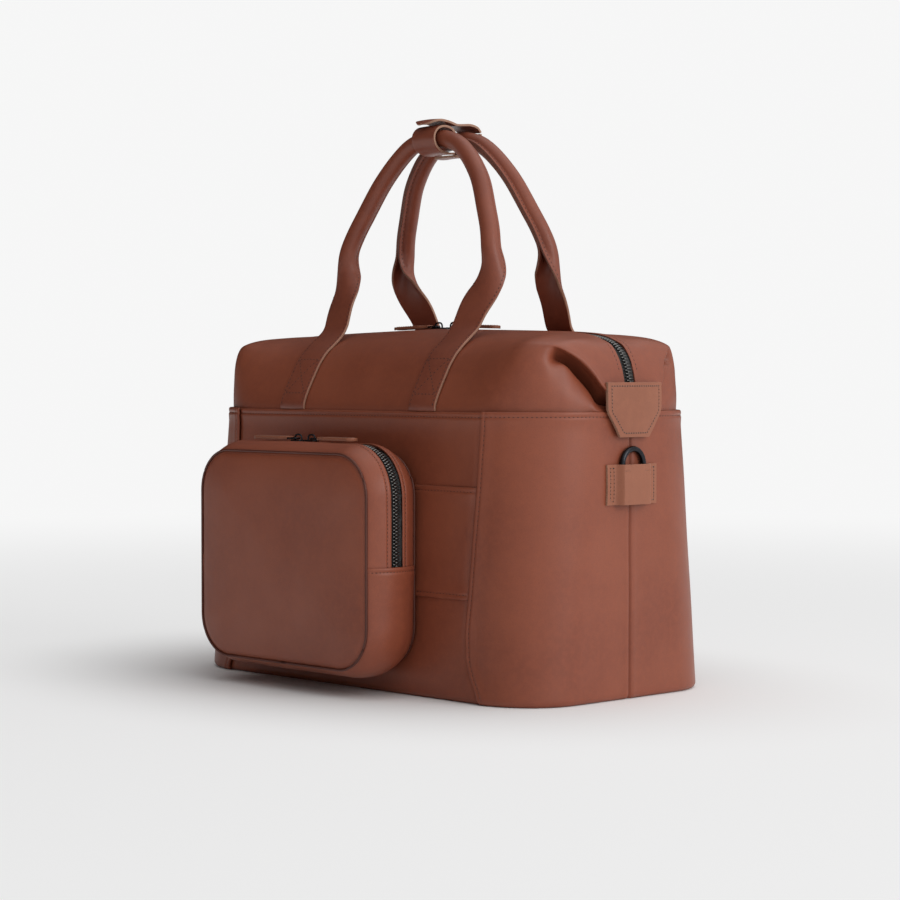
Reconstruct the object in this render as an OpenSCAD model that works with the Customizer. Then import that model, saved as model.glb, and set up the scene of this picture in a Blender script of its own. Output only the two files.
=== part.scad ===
// Leather weekend bag with two rolled handles and a zipped pouch that snaps to its front.
// Origin: middle of the base, on the surface it stands on. X runs along the bag, -Y is the front, +Z is up.

/* [Body] */
// Length of the bag at its base
body_w = 450; // [420:5:480]
// Depth of the bag at its base
body_d = 240; // [220:5:260]
// Height of the lower walls, up to the pocket line
pocket_h = 244; // [235:1:250]
// How far the front and back lean in, each, by the pocket line
lean = 8.6; // [6:0.2:10]
// Plan radius of the corners at the base
base_r = 55; // [45:1:60]
// Plan radius of the corners at the pocket line
pocket_r = 77; // [70:1:80]
// Thickness of the leather walls
leather_t = 2.6; // [2.2:0.1:3]

/* [Roof] */
// Height of the roof at its middle
roof_h = 316; // [312:1:320]
// How much lower the roof is at its two ends
roof_fall = 5.5; // [4:0.5:7]
// How far the roof stands in from the lower walls at the pocket line
roof_step = 2; // [1.5:0.1:2.5]

/* [Zips] */
// Width of the window that shows the teeth
zip_window = 13; // [12.5:0.1:14]
// Width of one row of teeth
chain_w = 3; // [2.6:0.1:3.2]
// Travel of a main slider along the straight roof
slider_x = 10; // [9:0.5:14]

/* [Handles] */
// Distance of each strap from the middle of the bag
strap_x = 86; // [80:1:90]
// Width of the flat straps
strap_w = 32; // [28:1:34]
// Thickness of the flat straps
strap_t = 3.2; // [2.8:0.1:3.4]
// Radius of the rolled grips
grip_r = 7.5; // [7:0.1:8]
// Radius of the bore that holds the grip's cord
grip_bore = 5.5; // [5:0.1:5.7]
// Width of the keeper that holds the two grips together
keeper_w = 29; // [24:1:32]

/* [Pouch] */
// Width of the pouch's front panel
pouch_w = 221; // [210:1:226]
// Height of the pouch's front panel
pouch_h = 182; // [176:1:188]
// Depth of the pouch between its two panels
pouch_d = 57; // [52:1:60]
// How far the gusset bulges past the panels
pouch_bulge = 9; // [6:0.5:10]
// Corner radius of the pouch's panels
pouch_r = 36; // [30:1:40]
// Middle of the pouch along the bag
pouch_x = -21.5; // [-26:0.5:0]

/* [Rings and tabs] */
// Radius of the strap ring's wire
wire_r = 2.5; // [2:0.1:2.6]
// Radius of the ring's arch, at the middle of the wire
ring_r = 13; // [12.5:0.1:13.5]
// Half width of the end tabs
tab_w = 33; // [28:1:34]

/* [Hidden] */

leather = "sienna";
edge_leather = "peru";
gunmetal = "dimgray";
fabric = "black";
board = "gray";

base_t = 3;
gap = 0.3;                          // room between pieces that lie on each other
half_w = body_w / 2;
arc_steps = 10;
// Heights at which the lower walls get a ring of points
wall_z = [base_t + gap, 11, 24, 36, 60, 91, 140, 181, pocket_h];
// Where the seam between front panel and side panel runs, by height
seam_line = [[0, 166], [11, 163], [24, 155], [36, 150], [60, 149], [91, 153], [181, 158], [244, 160]];
roof_run = 184;                     // half length of the roof's straight ridge
// The roof's outline by height: [height, half depth, half length, corner radius]
roof_rows = [[pocket_h + gap, body_d / 2 - lean - roof_step, half_w - roof_step, pocket_r - roof_step],
    [258, 103, 223, 73], [272, 95, 222.5, 70], [288, 85.5, 219, 66], [301, 73, 213, 58],
    [309.5, 58, 204, 46], [314, 38, 192, 28], [roof_h, zip_window / 2 + 0.6, roof_run, 0.5]];

zip_gap = 0.6;                      // half the slit between the two rows of teeth
tape_w = 16;                        // reach of the zip tape to each side
tape_top = -leather_t - gap;        // the tape lies under the leather
tape_t = 0.6;
pouch_tape_w = 7.6;                 // the pouch's tape is trimmed short, under its curved strips
chain_top = -0.2;

hinge_y = 60;                       // where the straps leave the roof and the handles turn
hinge_z = 309;
holder_z = [165.5, 199.5];
ring_x = half_w + 3.3;
ring_bar_z = 196.5;
ring_arch_z = 199.2;
tab_z = [222, 243, 268];
tab_x = half_w + 3;

pouch_z = 25;                       // height of the front panel's lower edge
pouch_back_y = -122;
pouch_mid_y = pouch_back_y - pouch_d / 2;
pouch_split_z = 113;                // where the zipped gusset meets the lower gusset
pouch_slider_x = 9;

// ---- curves ----
function mix(a, b, t) = a + (b - a) * t;
function wall_d(z) = body_d / 2 - lean * z / pocket_h;
function wall_r(z) = mix(base_r, pocket_r, z / pocket_h);
function seam_x(z) = lookup(z, seam_line);
function fall(x, z) = roof_fall * min(1, abs(x) / roof_run) * (z - pocket_h) / (roof_h - pocket_h);
function backwards(p) = [for (i = [len(p) - 1:-1:0]) p[i]];
function flip_x(p) = [for (q = p) [-q[0], q[1]]];
// A quarter of the plan outline: along the front from xs, round the corner and along the end to -ye
function corner_path(hw, hd, r, xs, ye) = concat([[xs, -hd]],
    [for (i = [0:arc_steps]) let (a = -90 + 90 * i / arc_steps)
        [hw - r + r * cos(a), r * sin(a) - (hd - r)]],
    [[hw, -ye]]);
// Half of the plan outline, from the middle of the left end round the front to the right end
function half_path(hw, hd, r, ye) = let (q = corner_path(hw, hd, r, 0, ye))
    concat(backwards(flip_x([for (i = [1:len(q) - 1]) q[i]])), q);
function at_z(path, z) = [for (q = path) [q[0], q[1], z]];
function roof_at(path, z) = [for (q = path) [q[0], q[1], z - fall(q[0], z)]];
// Unit normal of a plane path at point i, to the left of the way it runs
function normal(p, i) = let (a = p[max(0, i - 1)], b = p[min(len(p) - 1, i + 1)], d = b - a)
    [-d[1], d[0]] / norm(d);
function offset_path(p, d) = [for (i = [0:len(p) - 1]) p[i] + d * normal(p, i)];
// The zip's line over the roof, as [x, z], from its left end to its right end
zip_right = concat([[0, roof_h]],
    [for (i = [len(roof_rows) - 1:-1:2]) let (q = roof_rows[i]) [q[2], q[0] - fall(q[2], q[0])]]);
zip_line = concat(backwards(flip_x([for (i = [1:len(zip_right) - 1]) zip_right[i]])), zip_right);
track_tilt = atan(roof_fall / roof_run);
// The handle's centre line for x over 0, from the strap's hinge to the top of the arch, as [x, y, z]
leg_line = [[strap_x, -hinge_y, hinge_z], [88, -49.5, 329], [91, -40.5, 352], [92, -38, 375], [91.5, -36.5, 392]];
grip_line = [[92, -37.5, 383], [88, -34, 400], [80, -28.5, 420], [67, -22.5, 446], [55, -19, 462],
    [42, -16.5, 474], [30, -15.3, 482], [16, -15, 486.4], [0, -15, 487.5]];
// Section of the keeper's loop round the front grip, as [y, z]
loop_line = [[-3, 474.6], [-9, 474.2], [-17, 475], [-24, 478.5], [-28, 484.5], [-28, 490.5], [-24.5, 495.5],
    [-18.5, 498.2], [-11, 498.2], [-5, 495.6], [-1.5, 491]];
// Section of the keeper's flap over the back grip
flap_line = [[28.6, 497.2], [25, 500], [17, 501.6], [8, 501], [0, 500.6], [-6, 502], [-12, 503.2],
    [-20, 503.8], [-26, 502.6], [-30.5, 499.8]];
// Section of the keeper's cradle round the back grip
cradle_line = [[-1, 472.3], [8, 472], [18, 473.5], [25, 478], [29, 485], [30.2, 491], [30, 494.5]];

// ---- solids swept from rows of points ----
// Closes an outer and an inner grid of points, of the same size, into one solid
module shell(outer, inner) {
    m = len(outer);
    n = len(outer[0]);
    k = m * n;
    strips = concat(
        [for (i = [0:m - 2], j = [0:n - 2]) [i * n + j, (i + 1) * n + j, (i + 1) * n + j + 1, i * n + j + 1]],
        [for (i = [0:m - 2], j = [0:n - 2])
            [k + i * n + j, k + i * n + j + 1, k + (i + 1) * n + j + 1, k + (i + 1) * n + j]],
        [for (j = [0:n - 2]) [j, j + 1, k + j + 1, k + j]],
        [for (j = [0:n - 2]) let (s = (m - 1) * n + j) [s, k + s, k + s + 1, s + 1]],
        [for (i = [0:m - 2]) [i * n, k + i * n, k + (i + 1) * n, (i + 1) * n]],
        [for (i = [0:m - 2]) let (s = i * n + n - 1) [s, s + n, k + s + n, k + s]]);
    faces = [for (q = strips, f = [[q[0], q[1], q[2]], [q[0], q[2], q[3]]]) f];
    polyhedron(concat([for (row = outer) each row], [for (row = inner) each row]), faces, convexity = 8);
}

// A strip of width w0 to w1 along Y and thickness n0 to n1, along a path in X and Z
module strip_xz(path, w0, w1, n0, n1) {
    function row(d, y) = [for (q = offset_path(path, d)) [q[0], y, q[1]]];
    shell([row(n1, w0), row(n1, w1)], [row(n0, w0), row(n0, w1)]);
}

// A strip of width x0 to x1 and thickness n0 to n1, along a path in Y and Z
module strip_yz(path, x0, x1, n0, n1) {
    function row(d, x) = [for (q = offset_path(path, d)) [x, q[0], q[1]]];
    shell([row(n1, x1), row(n1, x0)], [row(n0, x1), row(n0, x0)]);
}

// A round tube of radius r along a path of points in space
module tube(path, r, sides = 12) {
    n = len(path);
    function along(i) = let (d = path[min(n - 1, i + 1)] - path[max(0, i - 1)]) d / norm(d);
    function ring(i) = let (t = along(i), u = cross(t, [0, 1, 0]) / norm(cross(t, [0, 1, 0])), v = cross(t, u))
        [for (j = [0:sides - 1]) path[i] + r * (cos(360 * j / sides) * u + sin(360 * j / sides) * v)];
    function at(i, j) = i * sides + j % sides;
    faces = concat([[for (j = [0:sides - 1]) j]], [[for (j = [sides - 1:-1:0]) (n - 1) * sides + j]],
        [for (i = [0:n - 2], j = [0:sides - 1]) [at(i, j + 1), at(i, j), at(i + 1, j)]],
        [for (i = [0:n - 2], j = [0:sides - 1]) [at(i, j + 1), at(i + 1, j), at(i + 1, j + 1)]]);
    polyhedron([for (i = [0:n - 1]) each ring(i)], faces, convexity = 8);
}

module rounded_rect(w, h, r) {
    square([w - 2 * r, h], center = true);
    square([w, h - 2 * r], center = true);
    for (sx = [-1, 1], sy = [-1, 1])
        translate([sx * (w / 2 - r), sy * (h / 2 - r)]) circle(r, $fn = 64);
}

// ---- the bag's body ----
module base_panel() {
    color(leather) linear_extrude(base_t) rounded_rect(body_w, body_d, base_r);
}

module base_board() {
    color(board) translate([0, 0, base_t + gap])
        linear_extrude(2.4) rounded_rect(body_w - 16, body_d - 16, base_r - 8);
}

// One lower wall row at height z, set in by t
function side_row(z, t) = at_z(corner_path(half_w - t, wall_d(z) - t, wall_r(z) - t, seam_x(z) + gap / 2, gap / 2), z);

module side_panel() {
    color(leather)
        shell([for (z = wall_z) side_row(z, 0)], [for (z = wall_z) side_row(z, leather_t)]);
}

function front_row(z, t) = [for (s = [-1, 1]) [s * (seam_x(z) - gap / 2), -(wall_d(z) - t), z]];

module front_panel() {
    color(leather)
        shell([for (z = wall_z) front_row(z, 0)], [for (z = wall_z) front_row(z, leather_t)]);
}

function lining_row(z, t) = at_z(half_path(half_w - t, wall_d(z) - t, wall_r(z) - t, -0.4), z);

// One half of a tub of lining cloth, inside the walls and their stiffeners
module lining_half() {
    out_t = leather_t + 2.6;
    rows = concat([8], [for (i = [3:len(wall_z) - 1]) wall_z[i] - 0.5]);
    shell([for (z = rows) lining_row(z, out_t)], [for (z = rows) lining_row(z, out_t + 0.8)]);
}

module lining() {
    color("tan") {
        lining_half();
        mirror([0, 1, 0]) lining_half();
        translate([0, 0, 7]) linear_extrude(1.4) rounded_rect(body_w - 12, body_d - 14, base_r - 6);
    }
}

// Foam board between the leather and the lining
module stiffener() {
    rows = [14, 60, 140, 232];
    function row(z, t) = [for (s = [-1, 1]) [s * 140, -(wall_d(z) - t), z]];
    color(board)
        shell([for (z = rows) row(z, leather_t + 0.4)], [for (z = rows) row(z, leather_t + 2.2)]);
}

// The band across the front that carries the pouch's snaps
module front_band() {
    rows = [86, 110, 133, 157, 181];
    function row(z, t) = [for (s = [-1, 1]) [s * (seam_x(z) - 1.2), -(wall_d(z) + t), z]];
    color(leather) shell([for (z = rows) row(z, 2.4)], [for (z = rows) row(z, 0.1)]);
}

// The sleeve on the back that slides over a trolley's handle
module back_sleeve() {
    reach = 105;
    lift = 11;
    thick = 2.4;
    profile = [[-reach, thick], [-reach + 13, thick], [-reach + 24, lift + thick], [reach - 24, lift + thick],
        [reach - 13, thick], [reach, thick], [reach, 0], [reach - 14, 0], [reach - 25, lift],
        [-reach + 25, lift], [-reach + 14, 0], [-reach, 0]];
    color(leather) translate([0, body_d / 2 + 0.2, 0]) rotate([atan(lean / pocket_h), 0, 0])
        translate([0, 0, 70]) linear_extrude(130) polygon(profile);
}

// The front half of the roof, from the pocket line to the zip
module roof_half() {
    function outer(q) = roof_at(half_path(q[2], q[1], q[3], zip_window / 2), q[0]);
    function inner(i) = let (q = roof_rows[i], sink = leather_t * pow(i / (len(roof_rows) - 1), 3),
        t = leather_t * (1 - pow(i / (len(roof_rows) - 1), 6)))
        [for (p = roof_at(half_path(q[2] - t, q[1] - t, max(0.3, q[3] - t), zip_window / 2), q[0])) p - [0, 0, sink]];
    color(leather) shell([for (q = roof_rows) outer(q)], [for (i = [0:len(roof_rows) - 1]) inner(i)]);
}

// ---- straps and handles ----
// The front of the roof in section, as [y, z], and the strap stitched on it
strap_rows = [for (i = [0:5]) [-roof_rows[i][1], roof_rows[i][0] - fall(strap_x, roof_rows[i][0])]];

module strap_end() {
    run = concat([for (i = [0:4]) strap_rows[i]], [mix(strap_rows[4], strap_rows[5], 0.7)]);
    color(leather) strip_yz(run, strap_x - strap_w / 2, strap_x + strap_w / 2, gap + 0.4, gap + 0.4 + strap_t);
}

module leg() {
    wide = [strap_w, strap_w, strap_w, strap_w - 3, 12];
    function across(i, side, depth) = leg_line[i] + [side * wide[i] / 2, depth * (i == 4 ? 4 : strap_t) / 2, 0];
    shell([for (i = [0:4]) [across(i, -1, -1), across(i, 1, -1)]],
        [for (i = [0:4]) [across(i, -1, 1), across(i, 1, 1)]]);
}

grip_full = concat([for (i = [0:len(grip_line) - 2]) let (q = grip_line[i]) [-q[0], q[1], q[2]]],
    backwards(grip_line));

module handle() {
    color(leather) {
        difference() {
            union() {
                tube(grip_full, grip_r);
                leg();
                mirror([1, 0, 0]) leg();
            }
            tube(grip_full, grip_bore);
        }
    }
}

module handle_core() {
    run = [for (i = [1:len(grip_full) - 2]) grip_full[i]];
    color(fabric) tube(run, grip_bore - 0.35);
}

module keeper(line) {
    color(leather) strip_yz(line, -keeper_w / 2, keeper_w / 2, -1.1, 1.1);
}

module wrap_snap() {
    color(gunmetal) translate([0, -11, 499.4]) cylinder(r = 5, h = 1.2, $fn = 48);
}

// ---- zips ----
module zip_tape() {
    color(fabric) strip_xz(zip_line, -tape_w, -zip_gap - 0.1, tape_top - tape_t, tape_top);
}

module zip_chain() {
    color(gunmetal) strip_xz(zip_line, -zip_gap - chain_w, -zip_gap, tape_top + 0.1, chain_top);
}

// A slider on its track: plates above and below the tape, a post in the slit and a crown for the link
module slider() {
    plate = [13, 9, 1.2];
    low = tape_top - tape_t - 0.4;
    color(gunmetal) {
        translate([-plate[0] / 2, -plate[1] / 2, 0.3]) cube(plate);
        translate([-plate[0] / 2, -plate[1] / 2, low - plate[2]]) cube(plate);
        translate([-3, -0.4, low - 0.1]) cube([6, 0.8, 0.5 - low]);
        difference() {
            translate([-4.5, -1, 1.4]) cube([9, 2, 4.7]);
            translate([-2.8, -2, 1.6]) cube([5.6, 4, 2.7]);
        }
    }
}

link_pin = [1, 0, 2.9];             // where the link hangs in the slider's crown

module pull_link() {
    color(gunmetal) translate(link_pin) {
        rotate([90, 0, 0]) cylinder(r = 0.9, h = 6.8, center = true, $fn = 24);
        for (s = [-1, 1]) translate([4.75, s * 2.6, 0]) cube([9.5, 1.6, 1.4], center = true);
        translate([9.4, 0, 0]) cube([2, 6.8, 1.4], center = true);
    }
}

module leather_pull(length = 46) {
    color(edge_leather) translate([11.5, 0, 1.2]) {
        translate([0, -4, 0]) cube([4, 8, 3]);
        translate([4, -6, 0]) cube([length - 4, 12, 3]);
    }
}

// Puts a slider's piece on the right half of the roof's track
module on_roof() {
    translate([slider_x, 0, roof_h - slider_x * tan(track_tilt)]) rotate([0, track_tilt, 0]) children();
}

// ---- rings and tabs on the ends ----
module ring_holder() {
    flange = 2.4;
    x0 = half_w + gap;
    profile = [[x0, -30.5], [x0 + flange, -30.5], [x0 + flange, -22.5], [half_w + 8.4, -17], [half_w + 8.4, 17],
        [x0 + flange, 22.5], [x0 + flange, 30.5], [x0, 30.5], [x0, 23.5], [half_w + 6, 18], [half_w + 6, -18],
        [x0, -23.5]];
    color(edge_leather) difference() {
        translate([0, 0, holder_z[0]]) linear_extrude(holder_z[1] - holder_z[0]) polygon(profile);
        for (s = [-1, 1]) translate([half_w + 5, s * ring_r - 3.2, ring_bar_z - 3.2]) cube([5, 6.4, 10]);
    }
}

module d_ring() {
    color(gunmetal) translate([ring_x, 0, 0]) {
        translate([0, 0, ring_arch_z]) rotate([90, 0, 90])
            rotate_extrude(angle = 180, $fn = 64) translate([ring_r, 0]) circle(wire_r, $fn = 24);
        for (s = [-1, 1]) {
            translate([0, s * ring_r, ring_bar_z]) cylinder(r = wire_r, h = ring_arch_z - ring_bar_z, $fn = 24);
            translate([0, s * ring_r, ring_bar_z]) sphere(wire_r, $fn = 24);
        }
        translate([0, ring_r, ring_bar_z]) rotate([90, 0, 0]) cylinder(r = wire_r, h = 2 * ring_r, $fn = 24);
    }
}

module end_tab() {
    low_w = 19;
    outline = [[-tab_w, tab_z[2]], [-tab_w, tab_z[1]], [-low_w, tab_z[0]], [low_w, tab_z[0]],
        [tab_w, tab_z[1]], [tab_w, tab_z[2]]];
    color(edge_leather) translate([tab_x, 0, 0]) rotate([90, 0, 90]) linear_extrude(4) polygon(outline);
}

// ---- the pouch ----
// Outline of the pouch above the split, from its right side over the top to its left side, as [x, z]
function arch_path(b) = let (hw = pouch_w / 2 + b, top = pouch_z + pouch_h + b, r = pouch_r + b)
    concat([[hw, pouch_split_z]],
        [for (i = [0:arc_steps]) let (a = 90 * i / arc_steps) [hw - r + r * cos(a), top - r + r * sin(a)]],
        [for (i = [0:arc_steps]) let (a = 90 + 90 * i / arc_steps) [r - hw + r * cos(a), top - r + r * sin(a)]],
        [[-hw, pouch_split_z]]);
// The same below the split, from its left side under the bottom to its right side
function cup_path(b) = let (hw = pouch_w / 2 + b, low = pouch_z - b, r = pouch_r + b)
    concat([[-hw, pouch_split_z - gap]],
        [for (i = [0:arc_steps]) let (a = 180 + 90 * i / arc_steps) [r - hw + r * cos(a), low + r + r * sin(a)]],
        [for (i = [0:arc_steps]) let (a = 270 + 90 * i / arc_steps) [hw - r + r * cos(a), low + r + r * sin(a)]],
        [[hw, pouch_split_z - gap]]);
// How far the gusset stands out at share s of the pouch's depth
function bulge(s) = pouch_bulge * (1 - pow(abs(2 * s - 1), 2.4));
function pouch_y(s) = pouch_back_y - leather_t - gap - s * (pouch_d - 2 * leather_t - 2 * gap);
function in_pouch(path, y) = [for (q = path) [pouch_x + q[0], y, q[1]]];

module gusset_part(shares, upper) {
    function row(s, t) = in_pouch(upper ? arch_path(bulge(s) - t) : cup_path(bulge(s) - t), pouch_y(s));
    shell([for (s = shares) row(s, 0)], [for (s = shares) row(s, leather_t)]);
}

strip_share = 0.5 - (zip_window / 2) / (pouch_d - 2 * leather_t - 2 * gap);
back_shares = [for (i = [0:4]) strip_share * i / 4];

module pouch_panel(y) {
    color(leather) translate([pouch_x, y, pouch_z + pouch_h / 2]) rotate([90, 0, 0])
        linear_extrude(leather_t) rounded_rect(pouch_w, pouch_h, pouch_r);
}

module pouch_zip_strip_front() {
    color(leather) gusset_part([for (s = backwards(back_shares)) 1 - s], true);
}

module pouch_zip_strip_back() {
    color(leather) gusset_part(back_shares, true);
}

module pouch_gusset() {
    color(leather) gusset_part([for (i = [0:10]) i / 10], false);
}

module pouch_lining() {
    inset = 4;
    color("tan") difference() {
        translate([pouch_x, pouch_back_y - leather_t - 1, pouch_z + pouch_h / 2]) rotate([90, 0, 0])
            linear_extrude(pouch_d - 2 * leather_t - 2) rounded_rect(pouch_w - inset, pouch_h - inset, pouch_r - 2);
        translate([pouch_x, pouch_back_y - leather_t - 2, pouch_z + pouch_h / 2]) rotate([90, 0, 0])
            linear_extrude(pouch_d - 2 * leather_t - 4)
                rounded_rect(pouch_w - inset - 2, pouch_h - inset - 2, pouch_r - 3);
        translate([pouch_x, pouch_mid_y, pouch_z + pouch_h]) cube([pouch_w - 90, 30, 24], center = true);
    }
}

// Thin cords that edge the front panel and the back panel
module pouch_piping() {
    cord_r = 1.3;
    color(leather) for (y = [pouch_back_y - leather_t / 2, pouch_back_y - pouch_d + leather_t / 2])
        translate([pouch_x, y, pouch_z + pouch_h / 2]) rotate([90, 0, 0])
            linear_extrude(2 * cord_r, center = true) difference() {
                rounded_rect(pouch_w + 4 * cord_r, pouch_h + 4 * cord_r, pouch_r + 2 * cord_r);
                rounded_rect(pouch_w + 0.2, pouch_h + 0.2, pouch_r + 0.1);
            }
}

pouch_track = [for (q = backwards(arch_path(pouch_bulge))) [q[0] + pouch_x, q[1]]];

module pouch_tape() {
    color(fabric) for (s = [-1, 1]) translate([0, pouch_mid_y, 0])
        strip_xz(pouch_track, s > 0 ? zip_gap + 0.1 : -pouch_tape_w, s > 0 ? pouch_tape_w : -zip_gap - 0.1,
            tape_top - 0.3 - tape_t, tape_top - 0.3);
}

module pouch_chain() {
    color(gunmetal) for (s = [-1, 1]) translate([0, pouch_mid_y, 0])
        strip_xz(pouch_track, s > 0 ? zip_gap : -zip_gap - chain_w, s > 0 ? zip_gap + chain_w : -zip_gap,
            tape_top + 0.1, chain_top);
}

module on_pouch(side) {
    translate([pouch_x + side * pouch_slider_x, pouch_mid_y, pouch_z + pouch_h + pouch_bulge])
        mirror([side < 0 ? 1 : 0, 0, 0]) children();
}

// Two magnetic snaps: discs on the band, and discs on the pouch's back
snap_z = 133;
snap_step = 55;

module snap_pair(y, r, thick) {
    color(gunmetal) for (s = [-1, 1]) translate([pouch_x + s * snap_step, y, snap_z])
        rotate([90, 0, 0]) cylinder(r = r, h = thick, $fn = 48);
}

module mirror_x() { mirror([1, 0, 0]) children(); }
module mirror_y() { mirror([0, 1, 0]) children(); }

base_panel();
base_board();
lining();
front_panel();
mirror_y() front_panel();  // back_panel
side_panel();  // side_front_right
mirror_x() side_panel();  // side_front_left
mirror_y() side_panel();  // side_back_right
mirror_x() mirror_y() side_panel();  // side_back_left
front_band();
snap_pair(-118.4, 9, 1.5);  // band_snaps
back_sleeve();
roof_half();  // upper_front
mirror_y() roof_half();  // upper_back
stiffener();  // stiffener_front
mirror_y() stiffener();  // stiffener_back
strap_end();  // strap_front_right
mirror_x() strap_end();  // strap_front_left
mirror_y() strap_end();  // strap_back_right
mirror_x() mirror_y() strap_end();  // strap_back_left
zip_tape();  // zip_tape_front
mirror_y() zip_tape();  // zip_tape_back
zip_chain();  // zip_chain_front
mirror_y() zip_chain();  // zip_chain_back
ring_holder();  // ring_holder_right
mirror_x() ring_holder();  // ring_holder_left
d_ring();  // d_ring_right
mirror_x() d_ring();  // d_ring_left
end_tab();  // end_tab_right
mirror_x() end_tab();  // end_tab_left
on_roof() slider();  // zip_slider_right
mirror_x() on_roof() slider();  // zip_slider_left
on_roof() pull_link();  // pull_link_right
mirror_x() on_roof() pull_link();  // pull_link_left
on_roof() leather_pull();  // zip_pull_right
mirror_x() on_roof() leather_pull();  // zip_pull_left
handle();  // front_handle
handle_core();  // front_handle_core
mirror_y() handle();  // back_handle
mirror_y() handle_core();  // back_handle_core
keeper(loop_line);  // wrap_loop
wrap_snap();
keeper(cradle_line);  // wrap_cradle
keeper(flap_line);  // wrap_flap
pouch_panel(pouch_back_y - pouch_d + leather_t);  // pouch_front
pouch_panel(pouch_back_y);  // pouch_back
pouch_gusset();
pouch_zip_strip_front();
pouch_zip_strip_back();
pouch_lining();
pouch_piping();
pouch_tape();
pouch_chain();
snap_pair(-120.1, 8, 1.8);  // pouch_snaps
on_pouch(1) slider();  // pouch_slider_right
on_pouch(-1) slider();  // pouch_slider_left
on_pouch(1) pull_link();  // pouch_link_right
on_pouch(-1) pull_link();  // pouch_link_left
on_pouch(1) leather_pull();  // pouch_pull_right
on_pouch(-1) leather_pull();  // pouch_pull_left
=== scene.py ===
"""A leather weekend bag with rolled handles, a zipped roof and a pouch on its front."""

import math

import bmesh
import bpy
import numpy as np
from mathutils import Matrix, Vector, noise


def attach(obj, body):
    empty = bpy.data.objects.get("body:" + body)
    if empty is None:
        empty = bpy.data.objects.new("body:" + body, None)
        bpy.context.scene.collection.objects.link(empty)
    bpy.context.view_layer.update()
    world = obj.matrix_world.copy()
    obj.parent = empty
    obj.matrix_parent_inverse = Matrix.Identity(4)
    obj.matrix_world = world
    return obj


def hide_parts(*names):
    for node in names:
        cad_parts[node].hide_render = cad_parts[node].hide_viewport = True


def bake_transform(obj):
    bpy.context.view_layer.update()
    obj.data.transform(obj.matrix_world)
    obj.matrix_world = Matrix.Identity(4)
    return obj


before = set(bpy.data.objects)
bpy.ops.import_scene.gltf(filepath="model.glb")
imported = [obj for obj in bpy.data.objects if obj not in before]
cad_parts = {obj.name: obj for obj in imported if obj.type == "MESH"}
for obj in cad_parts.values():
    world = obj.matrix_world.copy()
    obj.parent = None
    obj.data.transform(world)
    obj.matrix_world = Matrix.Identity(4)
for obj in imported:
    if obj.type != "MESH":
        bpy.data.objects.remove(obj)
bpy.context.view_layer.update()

MM = 0.001


# ---- measures of the bag, in millimetres ----
HALF_LENGTH = 225.0
POCKET_LINE = 244.0
WALL_TOP = POCKET_LINE - 0.6
LEATHER = 2.4
SEAM_HEIGHTS = [0, 11, 24, 36, 60, 91, 140, 181, 244]
SEAM_X = [166, 162, 155, 150.5, 149, 152, 155.5, 158, 160]
BAND_LOW, BAND_HIGH = 86.0, 181.0
SLEEVE_HALF, SLEEVE_LOW, SLEEVE_HIGH = 105.0, 70.0, 200.0
STRAP_X = 86.0
HINGE_Y, HINGE_Z = 60.0, 309.0
TAB_LOW, TAB_HEIGHT = 222.2, 46.3
HOLDER_HALF, HOLDER_LOW, HOLDER_HEIGHT = 30.8, 165.4, 34.0
RING_ARM_Y = 12.7
POUCH_X = -21.5
POUCH_W, POUCH_H, POUCH_D = 221.0, 182.0, 57.0
POUCH_LOW, POUCH_BACK, POUCH_R = 25.0, -122.0, 36.0
POUCH_BULGE = 9.0
POUCH_SPLIT = 113.0


# ---- shader maths ----
class Value:
    """A number that changes over a surface, with sums and products written as usual"""

    def __init__(self, paint, socket):
        self.paint, self.socket = paint, socket

    def _with(self, kind, other, swap=False):
        a, b = (other, self) if swap else (self, other)
        node = self.paint.tree.nodes.new("ShaderNodeMath")
        node.operation = kind
        for i, part in enumerate((a, b)):
            self.paint.feed(node.inputs[i], part)
        return Value(self.paint, node.outputs[0])

    def __add__(self, other):
        return self._with("ADD", other)

    def __radd__(self, other):
        return self._with("ADD", other, True)

    def __sub__(self, other):
        return self._with("SUBTRACT", other)

    def __rsub__(self, other):
        return self._with("SUBTRACT", other, True)

    def __mul__(self, other):
        return self._with("MULTIPLY", other)

    def __rmul__(self, other):
        return self._with("MULTIPLY", other, True)

    def __pow__(self, other):
        return self._with("POWER", other)


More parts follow.
